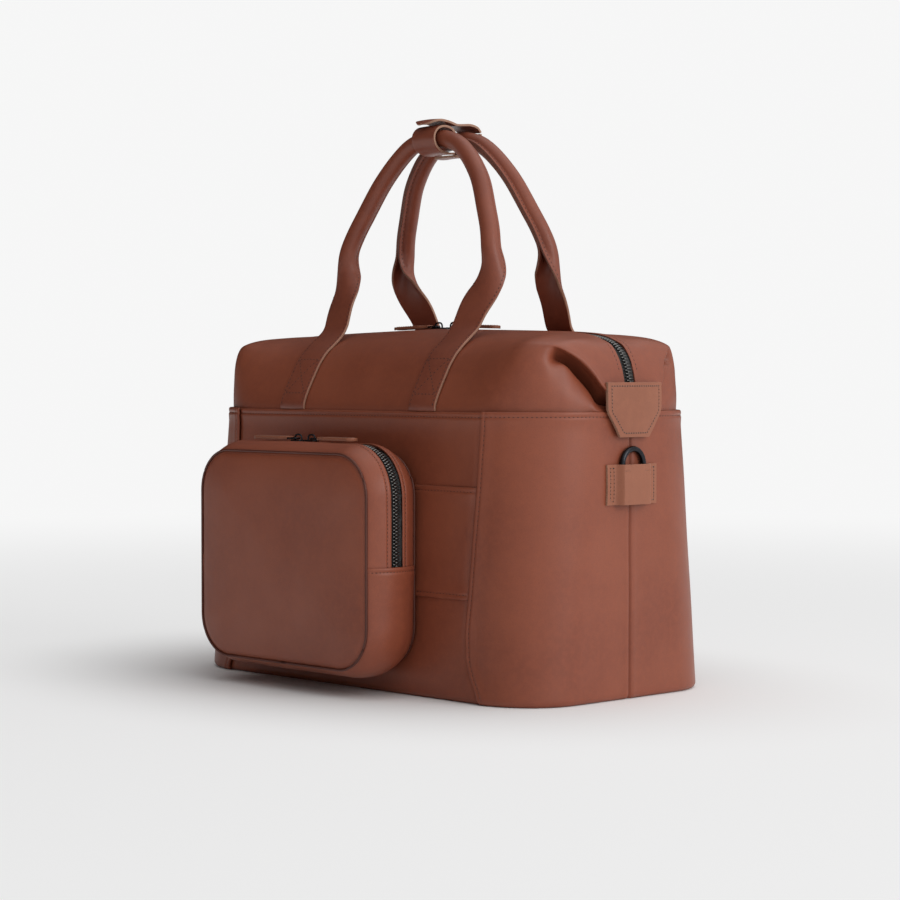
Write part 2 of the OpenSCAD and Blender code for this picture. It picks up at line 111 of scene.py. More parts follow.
class Paint:
    """One finish, with its shader ready to be fed"""

    def __init__(self, name):
        self.material = bpy.data.materials.new(name)
        self.material.use_nodes = True
        self.tree = self.material.node_tree
        self.shader = self.tree.nodes["Principled BSDF"]
        self.place = self.add("ShaderNodeTexCoord").outputs["Object"]

    def feed(self, socket, what):
        if isinstance(what, Value):
            what = what.socket
        if isinstance(what, bpy.types.NodeSocket):
            self.tree.links.new(what, socket)
        else:
            socket.default_value = what

    def add(self, kind, settings=None, **inputs):
        node = self.tree.nodes.new(kind)
        for key, value in (settings or {}).items():
            if key == "stops":
                ramp = node.color_ramp
                while len(ramp.elements) < len(value):
                    ramp.elements.new(0.5)
                for element, (at, colour) in zip(ramp.elements, value):
                    element.position = at
                    element.color = colour
            else:
                setattr(node, key, value)
        for key, value in inputs.items():
            self.feed(node.inputs[key.replace("_", " ")], value)
        return node

    def noise(self, scale, detail=2.0, rough=0.5, where=None, stretch=None):
        where = where or self.place
        if stretch:
            where = self.add("ShaderNodeMapping", Vector=where, Scale=stretch).outputs[0]
        node = self.add("ShaderNodeTexNoise", Vector=where, Scale=scale, Detail=detail, Roughness=rough)
        return Value(self, node.outputs[0])

    def cells(self, scale, feature="F1"):
        node = self.add("ShaderNodeTexVoronoi", {"feature": feature}, Vector=self.place, Scale=scale)
        return Value(self, node.outputs["Distance"])

    def ramp(self, value, low, high):
        node = self.add("ShaderNodeMapRange", {"interpolation_type": "SMOOTHSTEP"})
        self.feed(node.inputs["Value"], value)
        node.inputs["From Min"].default_value = low
        node.inputs["From Max"].default_value = high
        return Value(self, node.outputs["Result"])

    def blend(self, share, first, second, how="MIX"):
        node = self.add("ShaderNodeMix", {"data_type": "RGBA", "blend_type": how})
        self.feed(node.inputs[0], share)
        self.feed(node.inputs[6], first)
        self.feed(node.inputs[7], second)
        return node.outputs[2]

    def bump(self, height, strength, distance, below=None):
        node = self.add("ShaderNodeBump", Height=height)
        node.inputs["Strength"].default_value = strength
        node.inputs["Distance"].default_value = distance
        if below is not None:
            self.feed(node.inputs["Normal"], below)
        return node.outputs[0]

    def surface(self, base, rough, normal):
        """Feeds what changes over every finish"""
        for key, what in (("Base Color", base), ("Roughness", rough), ("Normal", normal)):
            self.feed(self.shader.inputs[key], what)

    def constants(self, **values):
        for key, value in values.items():
            self.shader.inputs[key.replace("_", " ")].default_value = value


def colour(r, g, b):
    """Linear colour from the usual 0 to 255 numbers"""
    def line(c):
        c /= 255
        return c / 12.92 if c <= 0.04045 else ((c + 0.055) / 1.055) ** 2.4
    return (line(r), line(g), line(b), 1.0)


def shaded(base, share):
    """The same colour, darker or lighter"""
    return tuple(c * share for c in base[:3]) + (1.0,)


def leather_finish(name, base, shade, rough=0.43, warm=None):
    """Smooth waxed leather: faint mottling, fine pebbled grain and soft creases"""
    p = Paint(name)
    flecks = p.noise(160, 3, 0.6)
    body = p.blend(p.ramp(p.noise(11, 3, 0.55), 0.3, 0.7), base, shade)
    body = p.blend(p.ramp(flecks, 0.35, 0.75) * 0.35, body, warm or shade)
    body = p.blend(p.ramp(p.cells(1500), 0.45, 0.8) * 0.16, body, shaded(shade, 0.55))
    creases = p.bump(p.noise(38, 3, 0.5), 0.20, 0.0012)
    pebbles = p.bump(p.cells(1250) * 0.7 + p.noise(2300, 2) * 0.4, 0.16, 0.00022, creases)
    p.surface(body, rough + (p.noise(45, 3) - 0.5) * 0.12 + (flecks - 0.5) * 0.08,
              p.bump(p.noise(420, 3, 0.6), 0.10, 0.0003, pebbles))
    p.constants(Specular_IOR_Level=0.36, Coat_Weight=0.05, Coat_Roughness=0.3)
    return p.material


def raw_edge_finish(name, base, dark, dressed=None):
    """Cut leather edge: pale fibres, dressed dark above a height where it is gripped"""
    p = Paint(name)
    fibres = p.noise(900, 4, 0.7, stretch=(1, 1, 2.5))
    edge = p.blend(p.ramp(fibres, 0.3, 0.7), base, dark)
    if dressed:
        height = Value(p, p.add("ShaderNodeSeparateXYZ", Vector=p.place).outputs[2])
        edge = p.blend(p.ramp(height, *dressed), edge, colour(112, 66, 50))
    p.surface(edge, 0.6 + (fibres - 0.5) * 0.2, p.bump(fibres, 0.3, 0.0003))
    return p.material


def thread_finish(name, base):
    """Waxed sewing thread with its twist"""
    p = Paint(name)
    twist = p.noise(2600, 2, 0.6)
    p.surface(p.blend(p.ramp(twist, 0.3, 0.7), base, shaded(base, 0.6)), 0.48 + (twist - 0.5) * 0.2,
              p.bump(twist, 0.4, 0.0002))
    return p.material


def metal_finish(name, base, rough):
    """Plated metal with handling marks"""
    p = Paint(name)
    smudge = p.noise(140, 3, 0.6)
    fine = p.noise(1800, 2, 0.5)
    p.surface(p.blend(p.ramp(smudge, 0.35, 0.7), base, shaded(base, 1.35)),
              rough + (smudge - 0.5) * 0.14 + (fine - 0.5) * 0.05, p.bump(fine, 0.06, 0.0001))
    p.constants(Metallic=1.0, Specular_IOR_Level=0.5)
    return p.material


def woven_finish(name, base, dark, pitch):
    """Plain woven cloth: two sets of threads that cross"""
    p = Paint(name)
    waves = [Value(p, p.add("ShaderNodeTexWave", {"bands_direction": way}, Vector=p.place, Scale=pitch,
                            Distortion=0.6, Detail=1.0).outputs["Fac"]) for way in ("X", "Y")]
    weave = waves[0] * waves[1]
    p.surface(p.blend(p.ramp(weave + p.noise(700, 2) * 0.3, 0.1, 0.9), dark, base), 0.86 - weave * 0.1,
              p.bump(weave, 0.5, 0.0003))
    p.constants(Sheen_Weight=0.25)
    return p.material


BROWN_LEATHER = leather_finish("brown_leather", colour(142, 76, 54), colour(130, 67, 47),
                               warm=colour(152, 80, 54))
HANDLE_LEATHER = leather_finish("handle_leather", colour(134, 72, 53), colour(122, 63, 46), rough=0.40,
                                warm=colour(144, 77, 54))
PALE_LEATHER = leather_finish("tab_leather", colour(152, 94, 70), colour(142, 86, 63), rough=0.46,
                              warm=colour(158, 98, 72))
PIPING_LEATHER = leather_finish("piping_leather", colour(92, 46, 33), colour(80, 38, 27))
RAW_EDGE = raw_edge_finish("raw_edge", colour(176, 138, 116), colour(142, 102, 82))
GRIP_EDGE = raw_edge_finish("grip_edge", colour(170, 128, 106), colour(138, 96, 76), dressed=(0.355, 0.385))
THREAD = thread_finish("brown_thread", colour(66, 30, 22))
PALE_THREAD = thread_finish("tab_thread", colour(150, 104, 86))
# Painted shade: near-black flat discs at the pale stitches stand in for the shade inside the needle holes
HOLE_SHADE = thread_finish("needle_hole_shade", colour(30, 14, 10))
HOLLOWS = leather_finish("pressed_leather", colour(140, 82, 62), colour(128, 72, 53))
BLACK_METAL = metal_finish("black_metal", (0.030, 0.030, 0.034, 1), 0.26)
TEETH_METAL = metal_finish("gunmetal_teeth", (0.13, 0.127, 0.122, 1), 0.3)
ZIP_CLOTH = woven_finish("black_tape", (0.012, 0.011, 0.011, 1), (0.004, 0.004, 0.004, 1), 900)
LINING_CLOTH = woven_finish("tan_lining", colour(168, 132, 98), colour(120, 90, 66), 700)
BOARD = raw_edge_finish("fibre_board", colour(120, 116, 108), colour(92, 88, 82))
CORD_COTTON = woven_finish("cotton_cord", colour(186, 172, 150), colour(150, 136, 116), 500)
# Each sheet takes two finishes: its faces and its cut edge
BROWN = (BROWN_LEATHER, BROWN_LEATHER)
PALE = (PALE_LEATHER, RAW_EDGE)
TAPE = (ZIP_CLOTH, ZIP_CLOTH)


# ---- lines and nets ----
def glide(points, t):
    """Value at place t of a smooth curve through rows of points; whole numbers fall on the points"""
    n = len(points)
    i = int(min(max(math.floor(t), 0), n - 2))
    f = t - i
    p1, p2 = points[i], points[i + 1]
    p0 = points[i - 1] if i > 0 else 2 * p1 - p2
    p3 = points[i + 2] if i + 2 < n else 2 * p2 - p1
    return 0.5 * (2 * p1 + (p2 - p0) * f + (2 * p0 - 5 * p1 + 4 * p2 - p3) * f * f
                  + (3 * p1 - p0 - 3 * p2 + p3) * f * f * f)


def read(at, marks, rows):
    """Row of numbers at a length along a line whose own rows are at the marked lengths"""
    return np.array([np.interp(at, marks, rows[:, k]) for k in range(rows.shape[1])])


class Path:
    """A smooth line through points, read by its share of length"""

    def __init__(self, points, fine=16, closed=False):
        rows = np.array(points, dtype=float)
        if closed:
            rows = np.vstack([rows[-2], rows, rows[0], rows[1], rows[2]])
            ts = np.arange(1, len(rows) - 2 + 1e-9, 1 / fine)
        else:
            ts = np.arange(0, len(rows) - 1 + 1e-9, 1 / fine)
        self.points = np.array([glide(rows, min(t, len(rows) - 1)) for t in ts])
        steps = np.linalg.norm(np.diff(self.points, axis=0), axis=1)
        self.marks = np.concatenate([[0], np.cumsum(steps)])
        self.length = self.marks[-1]

    def at(self, share):
        return read(share * self.length, self.marks, self.points)

    def along(self, share):
        d = self.at(min(1, share + 0.002)) - self.at(max(0, share - 0.002))
        return d / np.linalg.norm(d)


def ease(t):
    t = min(max(t, 0.0), 1.0)
    return t * t * (3 - 2 * t)


def ripple(x, y, z, size, depth):
    """Slow unevenness of a soft wall, the same on each run"""
    return depth * noise.noise(Vector((x, y, z)) / size)


def hem(e, height, stitch):
    """Rise of a folded edge at distance e from it: rolls under at the edge, dips under the stitches"""
    e = max(e, 0)
    roll = height * math.sqrt(1 - max(0, 1 - e / 1.6) ** 2)
    dip = 0.7 * math.exp(-((e - stitch) / 0.9) ** 2)
    return roll - dip - height * 0.75 * ease((e - 5) / 9)


def short_hem(e, height, stitch):
    """The same, with nothing left of it further in"""
    return hem(e, height, stitch) if e < 16 else 0.0


def spread(count, extra=()):
    """Even shares from 0 to 1, with extra ones among them"""
    return sorted({round(float(v), 6) for v in [*np.linspace(0, 1, count), *extra]})


def from_end(distances, total):
    return [1 - d / total for d in distances]


def near_edges(count, total, close, low=True):
    """Even shares, with rows at the given distances from the ends of a piece that long"""
    extra = [c / total for c in close if low] + from_end(close, total)
    return spread(count, [e for e in extra if 0 < e < 1])


# ---- mesh helpers ----
def finished(name, bm):
    for f in bm.faces:
        f.smooth = True
    mesh = bpy.data.meshes.new(name)
    bm.to_mesh(mesh)
    bm.free()
    obj = bpy.data.objects.new(name, mesh)
    bpy.context.scene.collection.objects.link(obj)
    return obj


def cut(us, vs, place):
    """A grid whose corners go where place(u, v) says, in millimetres, as a mesh builder's start"""
    def near(values, unit):
        return values[int(round((unit + 0.5) * (len(values) - 1)))]
    bm = bmesh.new()
    bmesh.ops.create_grid(bm, x_segments=len(us) - 1, y_segments=len(vs) - 1, size=0.5)
    for v in bm.verts:
        v.co = Vector(place(near(us, v.co.x), near(vs, v.co.y))) * MM
    return bm


def thicken(obj, thick, lift):
    """Gives a sheet its wall, whose edge takes the second finish; lift is where the sheet lies in the wall"""
    wall = obj.modifiers.new("thickness", "SOLIDIFY")
    wall.thickness = thick * MM
    wall.offset = lift
    wall.use_even_offset = False
    wall.material_offset_rim = 1


def round_edges(obj, width, angle=55):
    roll = obj.modifiers.new("edge", "BEVEL")
    roll.width = width * MM
    roll.segments = 2
    roll.limit_method = "ANGLE"
    roll.angle_limit = math.radians(angle)


def sheet(name, us, vs, place, thick=0.0, weld=False, outward_from=(0, 0, 150), edge_roll=0.0, lift=-1.0):
    """A piece of leather or cloth cut to a grid, turned to face away from a point and given its thickness"""
    bm = cut(us, vs, place)
    if weld:
        bmesh.ops.remove_doubles(bm, verts=bm.verts, dist=2e-5)
    bm.normal_update()
    inside = Vector(outward_from) * MM
    if sum(f.normal.dot(f.calc_center_median() - inside) * f.calc_area() for f in bm.faces) < 0:
        bmesh.ops.reverse_faces(bm, faces=bm.faces)
    obj = finished(name, bm)
    if thick:
        thicken(obj, thick, lift)
        if edge_roll:
            round_edges(obj, edge_roll)
    return obj


def put_on(obj, body, materials, *stands_for):
    """Gives a piece its finishes and, when its body is given by name, the body it rides on (otherwise it only
    fixes its place in the world), and hides the solids it stands for
    """
    for m in materials if isinstance(materials, (list, tuple)) else [materials]:
        obj.data.materials.append(m)
    if isinstance(body, str):
        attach(obj, body)
    else:
        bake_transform(obj)
    if stands_for:
        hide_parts(*stands_for)
    return obj


def panel(name, us, vs, place, body, finishes, *stands_for, **shape):
    """A sheet with its finishes, put on its body"""
    return put_on(sheet(name, us, vs, place, **shape), body, finishes, *stands_for)


def bar_mesh(points, radius, sides=10, count=70, closed=True):
    """A round bar along a smooth line, as a mesh builder's start"""
    path = Path(points, fine=8, closed=closed)
    bm = bmesh.new()
    bmesh.ops.create_grid(bm, x_segments=count, y_segments=sides, size=0.5)
    for v in bm.verts:
        share, turn = v.co.x + 0.5, 2 * math.pi * (v.co.y + 0.5)
        t = path.along(share)
        a = np.cross(t, [0, 0, 1.0] if abs(t[2]) < 0.9 else [0, 1.0, 0])
        a /= np.linalg.norm(a)
        v.co = Vector(path.at(share) + radius * (math.cos(turn) * a + math.sin(turn) * np.cross(t, a)))
    bmesh.ops.remove_doubles(bm, verts=bm.verts, dist=0.01)
    if not closed:
        bmesh.ops.holes_fill(bm, edges=[e for e in bm.edges if e.is_boundary], sides=sides + 2)
    bmesh.ops.recalc_face_normals(bm, faces=bm.faces)
    return bm


def block(size, soft, segments=2):
    """A small box with rounded edges, centred, as a mesh builder's start"""
    bm = bmesh.new()
    bmesh.ops.create_cube(bm, size=1.0)
    bmesh.ops.scale(bm, vec=Vector(size), verts=bm.verts)
    bmesh.ops.bevel(bm, geom=bm.edges[:], offset=soft, segments=segments, profile=0.5, affect="EDGES",
                    material=-1)
    return bm


def set_down(bm, pattern, places):
    """Adds a pattern to a mesh builder at each place, given as a matrix"""
    source = bpy.data.meshes.new("pattern")
    pattern.to_mesh(source)
    pattern.free()
    for m in places:
        start = len(bm.verts)
        bm.from_mesh(source)
        bm.verts.ensure_lookup_table()
        bmesh.ops.transform(bm, matrix=m, verts=bm.verts[start:])
    bpy.data.meshes.remove(source)


def copies(name, pattern, places):
    """One piece made of a pattern set down at each place, in millimetres"""
    bm = bmesh.new()
    set_down(bm, pattern, places)
    bmesh.ops.scale(bm, vec=(MM, MM, MM), verts=bm.verts)
    return finished(name, bm)


def join(name, parts):
    """One piece from several mesh builders, each with the matrix that sets it down, in millimetres"""
    bm = bmesh.new()
    for part, m in parts:
        set_down(bm, part, [m])
    bmesh.ops.scale(bm, vec=(MM, MM, MM), verts=bm.verts)
    bmesh.ops.recalc_face_normals(bm, faces=bm.faces)
    return finished(name, bm)


def at_frame(p, along, out):
    """Matrix that puts X along a line and Z out of a surface at a point"""
    x = Vector(along).normalized()
    z = Vector(out)
    z = (z - x * z.dot(x)).normalized()
    y = z.cross(x)
    m = Matrix((x, y, z)).transposed().to_4x4()
    m.translation = Vector(p)
    return m


def stitch_shape(length, pitch):
    """One stitch lying along X, with a flat disc at the needle hole it starts from; in the dark finish that
    disc is painted shade of the hole
    """
    bm = bmesh.new()
    bmesh.ops.create_icosphere(bm, subdivisions=1, radius=0.5)
    bmesh.ops.scale(bm, vec=(length, 1.05, 0.85), verts=bm.verts)
    hole = bmesh.ops.create_circle(bm, cap_ends=True, radius=0.6, segments=6)["verts"]
    bmesh.ops.translate(bm, vec=(pitch / 2, 0, 0.2), verts=hole)
    for f in bm.faces:
        f.material_index = 1 if len(f.verts) > 3 else 0
    return bm


def surface_normal(place, u, v, toward):
    """Unit normal of a surface, on the side that faces the given way"""
    step = 0.002
    n = np.cross(place(min(u + step, 1), v) - place(max(u - step, 0), v),
                 place(u, min(v + step, 1)) - place(u, max(v - step, 0)))
    n /= max(np.linalg.norm(n), 1e-9)
    return n if np.dot(n, toward) >= 0 else -n


def sew(name, body, lines, thread=None, pitch=3.9, length=2.3):
    """Rows of stitches: each line is a list of (point, outward direction) in millimetres"""
    sink = 0.12
    places = []
    for line in lines:
        pts = np.array([p for p, _ in line], dtype=float)
        outs = np.array([o for _, o in line], dtype=float)
        marks = np.concatenate([[0], np.cumsum(np.linalg.norm(np.diff(pts, axis=0), axis=1))])
        n = max(1, int(marks[-1] / pitch))
        for s in (np.arange(n) + 0.5) * marks[-1] / n:
            along = read(min(s + 0.8, marks[-1]), marks, pts) - read(max(s - 0.8, 0), marks, pts)
            out = read(s, marks, outs)
            out /= np.linalg.norm(out)
            places.append(at_frame(read(s, marks, pts) - out * sink, along, out))
    obj = copies(name, stitch_shape(length, pitch), places)
    # Beside pale thread the hole discs take the painted shade; beside brown thread they take pressed leather
    return put_on(obj, body, [thread or THREAD, HOLE_SHADE if thread else HOLLOWS])


def sample(place, pairs, toward=None, centre=(0, 0, 150)):
    """Points and outward directions along a row of (u, v) pairs on a surface"""
    line = []
    for u, v in pairs:
        p = place(u, v)
        line.append((p, surface_normal(place, u, v, p - np.array(centre) if toward is None else toward)))
    return line


def flipped(place, x=False, y=False):
    """The same surface mirrored end for end, or front to back"""
    def other(u, v):
        p = place(u, v)
        return np.array([-p[0] if x else p[0], -p[1] if y else p[1], p[2]])
    return other


def mirrored_line(line, x=False, y=False):
    s = np.array([-1 if x else 1, -1 if y else 1, 1.0])
    return [(p * s, o * s) for p, o in line]


# ---- lower walls ----
def half_depth(z):
    return 120 - 8.6 * z / POCKET_LINE


def corner_radius(z):
    return 55 + 22 * z / POCKET_LINE


def plan(z, s):
    """Point of the walls' outline at height z, s round from the middle of the front, with its outward way"""
    hd, r = half_depth(z), corner_radius(z)
    flat = HALF_LENGTH - r
    arc = math.pi / 2 * r
    if s <= flat:
        return np.array([s, -hd]), np.array([0.0, -1.0])
    if s <= flat + arc:
        a = (s - flat) / r
        out = np.array([math.sin(a), -math.cos(a)])
        return np.array([flat, r - hd]) + r * out, out
    return np.array([HALF_LENGTH, -(hd - r) + (s - flat - arc)]), np.array([1.0, 0.0])


def plan_both(z, s):
    """The same to either side of the middle: s is below 0 to the left"""
    xy, out = plan(z, abs(s))
    mirror = [-1 if s < 0 else 1, 1]
    return xy * mirror, out * mirror


def seam_at(z):
    """Distance round the outline at which the front panel's seam runs"""
    x = float(np.interp(z, SEAM_HEIGHTS, SEAM_X))
    r = corner_radius(z)
    flat = HALF_LENGTH - r
    return x if x <= flat else flat + r * math.asin((x - flat) / r)


def quarter_length(z):
    """Distance round the outline from the middle of the front to the middle of the end"""
    r = corner_radius(z)
    return (HALF_LENGTH - r) + math.pi / 2 * r + (half_depth(z) - r)


def swell(s, z):
    """How far the soft walls stand out: a little fuller low down, pulled in at the top and the foot"""
    foot = -3.2 * max(0, 1 - z / 4.5) ** 2
    full = 1.7 * math.sin(math.pi * min(1, 1.02 * z / POCKET_LINE)) ** 0.8
    return foot + full * (0.5 + 0.5 * math.cos(math.pi * min(1, s / 260)))


def side_offset(s, z):
    """How far a side wall stands out: its lapped seam, its hem and the seam in the middle of the end"""
    edge = s - seam_at(z)
    lip = hem(edge, 1.9, 4.4) + 1.0
    top = hem(POCKET_LINE - z, 1.2, 4.6)
    middle = quarter_length(z) - s
    groove = -2.0 * math.exp(-(middle / 1.3) ** 2) + 0.35 * math.exp(-((middle - 4.5) / 2.5) ** 2)
    return max(lip * (1 - 0.75 * ease(edge / 40)), 0.2) * 0.9 + top * 0.9 + groove + swell(s, z)


def side_point(u, v):
    z = v * POCKET_LINE
    seam = seam_at(z)
    s = seam + (quarter_length(z) - seam) * u
    xy, out = plan(z, s)
    x, y = xy + out * (side_offset(s, z) + ripple(*xy, z, 55, 0.5) * math.sin(math.pi * v))
    return np.array([x, y, max(z, 0.3)])


HEM_ROWS = [0.25, 0.6, 1.0, 1.6, 2.6, 3.6, 4.4, 5.2, 6.2, 8]


def wall_rows(count, height):
    """Even shares of a wall's height, closer near its foot and its hem"""
    close = [0.8, 2, 3.4, 5, 7.5]
    return spread(count, [c / height for c in close] + from_end(close + HEM_ROWS, height))


side_us = near_edges(46, 195, HEM_ROWS)
side_vs = wall_rows(40, POCKET_LINE)
top_row = sample(side_point, [(u, 1 - 4.5 / POCKET_LINE) for u in np.linspace(0.03, 0.97, 60)])
seam_row = sample(side_point, [(4.4 / (quarter_length(v * POCKET_LINE) - seam_at(v * POCKET_LINE)), v)
                               for v in np.linspace(0.02, 0.975, 70)])
side_lines = []
for end, x_flip in (("right", False), ("left", True)):
    for face, y_flip in (("front", False), ("back", True)):
        name = f"side_{face}_{end}"
        where = flipped(side_point, x_flip, y_flip)
        panel(f"{name}_leather", side_us, side_vs, where, "bag", BROWN, name, thick=LEATHER)
        side_lines += [mirrored_line(row, x_flip, y_flip) for row in (top_row, seam_row)]
sew("side_stitches", "bag", side_lines)


# ---- front and back walls ----
def front_point(u, v):
    z = v * WALL_TOP
    s = (2 * u - 1) * (seam_at(z) + 7)
    xy, out = plan_both(z, s)
    tuck = -1.4 * ease((abs(s) - seam_at(z) + 4) / 6)
    off = swell(abs(s), z) + hem(WALL_TOP - z, 1.2, 4.4) + tuck
    off += ripple(s, -120, z, 70, 0.7) * math.sin(math.pi * v)
    x, y = xy + out * off
    return np.array([x, y, max(z, 0.3)])


def band_point(u, v):
    """The raised band across the front, with a folded edge above and below"""
    z = BAND_LOW + (BAND_HIGH - BAND_LOW) * v
    s = (2 * u - 1) * (seam_at(z) + 0.5)
    xy, out = plan_both(z, s)
    tuck = -2.2 * ease((abs(s) - seam_at(z) + 5) / 6)
    off = swell(abs(s), z) + 1.3 + hem(min(z - BAND_LOW, BAND_HIGH - z), 1.5, 4.2) + tuck
    off += ripple(s, -100, z, 40, 0.5)
    x, y = xy + out * off
    return np.array([x, y, z])


front_us = spread(90)
front_vs = wall_rows(44, WALL_TOP)
for face, flip in (("front", False), ("back", True)):
    where = flipped(front_point, y=flip)
    panel(f"{face}_wall", front_us, front_vs, where, "bag", BROWN, f"{face}_panel", thick=LEATHER)
band_vs = near_edges(16, BAND_HIGH - BAND_LOW, HEM_ROWS)
panel("front_band_leather", front_us, band_vs, band_point, "bag", BROWN, "front_band", thick=1.8)
shares = np.linspace(0.015, 0.985, 120)
wall_line = sample(front_point, [(u, 1 - 4.4 / WALL_TOP) for u in shares])
band_share = 4.2 / (BAND_HIGH - BAND_LOW)
band_lines = [sample(band_point, [(u, v) for u in shares]) for v in (band_share, 1 - band_share)]
sew("front_stitches", "bag", [wall_line, *band_lines, mirrored_line(wall_line, y=True)])


# ---- base ----
def base_point(u, v):
    """The base from its middle out: u runs round its four quarters, v out to its turned up rim"""
    quarter = int(min(3, math.floor(4 * u)))
    round_it = 4 * u - quarter
    if quarter % 2:
        round_it = 1 - round_it
    xy, out = plan(0, round_it * quarter_length(0))
    x, y = (xy + out * -3.0) * v
    lift = 0.0 if v < 0.97 else 0.4 + (v - 0.97) * 20
    return np.array([x if quarter in (0, 1) else -x, y if quarter in (0, 3) else -y, lift])


panel("base_leather", spread(161), [0, 0.3, 0.6, 0.85, 0.96, 0.985, 1.0], base_point, "bag", BROWN_LEATHER,
      "base_panel", weld=True, outward_from=(0, 0, 10))


# ---- roof ----
# How a soft wall turns over into the roof, as shares of the way in and of the way up: gently in the middle of
# the bag, tightly over its corners.
GENTLE = [(0, 0), (0.012, 0.1), (0.04, 0.2), (0.08, 0.31), (0.13, 0.435), (0.19, 0.58), (0.28, 0.735),
          (0.42, 0.875), (0.62, 0.955), (0.82, 0.985), (1, 1)]
TIGHT = [(0, 0), (0.002, 0.2), (0.004, 0.4), (0.01, 0.58), (0.03, 0.74), (0.075, 0.86), (0.15, 0.93),
         (0.32, 0.972), (0.58, 0.99), (0.8, 0.996), (1, 1)]
# Stations round the roof from the middle of the front to the middle of the end. Each has the lower edge, the
# lip of the leather that comes up from the walls, the bottom of the pleat, the wing's edge, the zip's edge, how
# tight the turn is and how much of the pleat there is.
ROOF = [
    ((0, -109.6), None, None, None, (0, 315.5), 0, 0),
    ((70, -109.6), None, None, None, (70, 313.9), 0, 0),
    ((125, -109.6), None, None, None, (125, 312.4), 0.05, 0),
    ((163, -107.5), None, None, None, (158, 311.3), 0.4, 0),
    ((187, -97.5), None, None, None, (178, 309.7), 0.85, 0),
    ((203, -84), (206.5, -78, 283), (203, -70, 290), (206.5, -77, 296), (191, 307.3), 1, 0.3),
    ((212.5, -71), (209, -65.5, 282), (192, -55, 286.5), (210, -66, 296), (201, 303.8), 1, 0.92),
    ((219, -57), (213, -52.5, 270.5), (192, -40, 274), (217, -53, 287.5), (210.5, 299.2), 1, 1),
    ((221.5, -46), (217, -42.5, 259.5), (198, -30, 262), (223.6, -44.5, 276.5), (217.5, 290), 1, 1),
    ((222.6, -37), (221.5, -36.5, 248.5), (206, -24, 250), (227.6, -37.5, 266), (222.5, 278.5), 1, 1),
    ((222.6, -0.5), (222.6, -18, 245.5), (214, -12, 248), (230.2, -21, 252), (227, 259), 1, 1),
]


def roof_station(low, lip, valley, crest, top, tight, fold):
    """Section of the roof from its lower edge to the zip: a smooth turn, with a pleat blended into it"""
    b = np.array([low[0], low[1], POCKET_LINE - 3.0])
    z = np.array([top[0], -6.9, top[1]])
    turn = np.array(GENTLE) * (1 - tight) + np.array(TIGHT) * tight
    smooth = np.array([b + (z - b) * np.array([h, h, k]) for h, k in turn])
    if not fold:
        return smooth
    lip, valley, c = (np.array(q, dtype=float) for q in (lip, valley, crest))
    n = np.array([c[0] - valley[0], c[1] - valley[1], 0.0])
    n /= np.linalg.norm(n)
    slope = z - c
    lift = np.array([-slope[2] * n[0], -slope[2] * n[1], math.hypot(slope[0], slope[1])])
    lift /= np.linalg.norm(lift)
    lower = 0.5 * (b + lip) + n * 2.6
    over_lip = lip + (valley - lip) * 0.3 + np.array([0, 0, 2.0])
    under = valley + (c - valley) * np.array([0.5, 0.5, 0.86])
    wing = [c + slope * 0.16 + lift * 3.6, c + slope * 0.4 + lift * 5.0, c + slope * 0.74 + lift * 2.6]
    folded = [b, lower, lip, over_lip, valley, under, c, *wing, z]
    return smooth * (1 - fold) + np.array(folded) * fold


roof_net = np.array([roof_station(*row) for row in ROOF])


def zip_reach(rows):
    """Millimetres that one whole step of v would be worth beside the zip"""
    return (len(rows) - 1) * np.linalg.norm(rows[-1] - rows[-2])


def roof_point(u, v):
    """Right front quarter of the roof: u runs from the middle to the end, v from the wall to the zip"""
    rows = glide(roof_net, u * (len(ROOF) - 1))
    p = glide(rows, v * (roof_net.shape[1] - 1))
    rise = short_hem((1 - v) * zip_reach(rows), 0.8, 4.6)
    p = p + np.array([0, 0, 1.0]) * rise * (1 - ease((u - 0.8) / 0.15))
    wobble = ripple(p[0], p[1], p[2], 60, 1.3) * math.sin(math.pi * min(1, v)) ** 0.7
    return p + np.array([0, -0.5, 0.8]) * wobble


def whole_roof(u, v):
    """The same, for the whole front half: u runs from the left end to the right end"""
    return roof_point(abs(2 * u - 1), v) * [1 if u >= 0.5 else -1, 1, 1]


roof_us = spread(181)
roof_vs = spread(61, from_end(HEM_ROWS, 185) + from_end(HEM_ROWS, 100))
UNDER_ROOF = (0, 0, 230)
for face, flip in (("front", False), ("back", True)):
    panel(f"roof_{face}", roof_us, roof_vs, flipped(whole_roof, y=flip), "bag", BROWN, f"upper_{face}",
          thick=LEATHER, outward_from=UNDER_ROOF)
zip_line = sample(whole_roof, [(u, 1 - 4.6 / zip_reach(glide(roof_net, abs(2 * u - 1) * (len(ROOF) - 1))))
                               for u in np.linspace(0.05, 0.95, 260)], centre=UNDER_ROOF)
sew("roof_stitches", "bag", [zip_line, mirrored_line(zip_line, y=True)])


# ---- handles ----
def roof_path_at(x, count):
    """The line a strap takes over the roof at that distance from the middle, held just off the leather"""
    found = []
    for v in np.linspace(0.035, 0.62, count):
        lo, hi = 0.5, 0.85
        for _ in range(18):
            m = 0.5 * (lo + hi)
            lo, hi = (m, hi) if whole_roof(m, v)[0] < x else (lo, m)
        p = whole_roof(lo, v)
        n = surface_normal(whole_roof, lo, v, p - np.array(UNDER_ROOF))
        found.append(p + n * (0.9 + 1.5 * ease((p[2] - 240) / 9)))
    return found


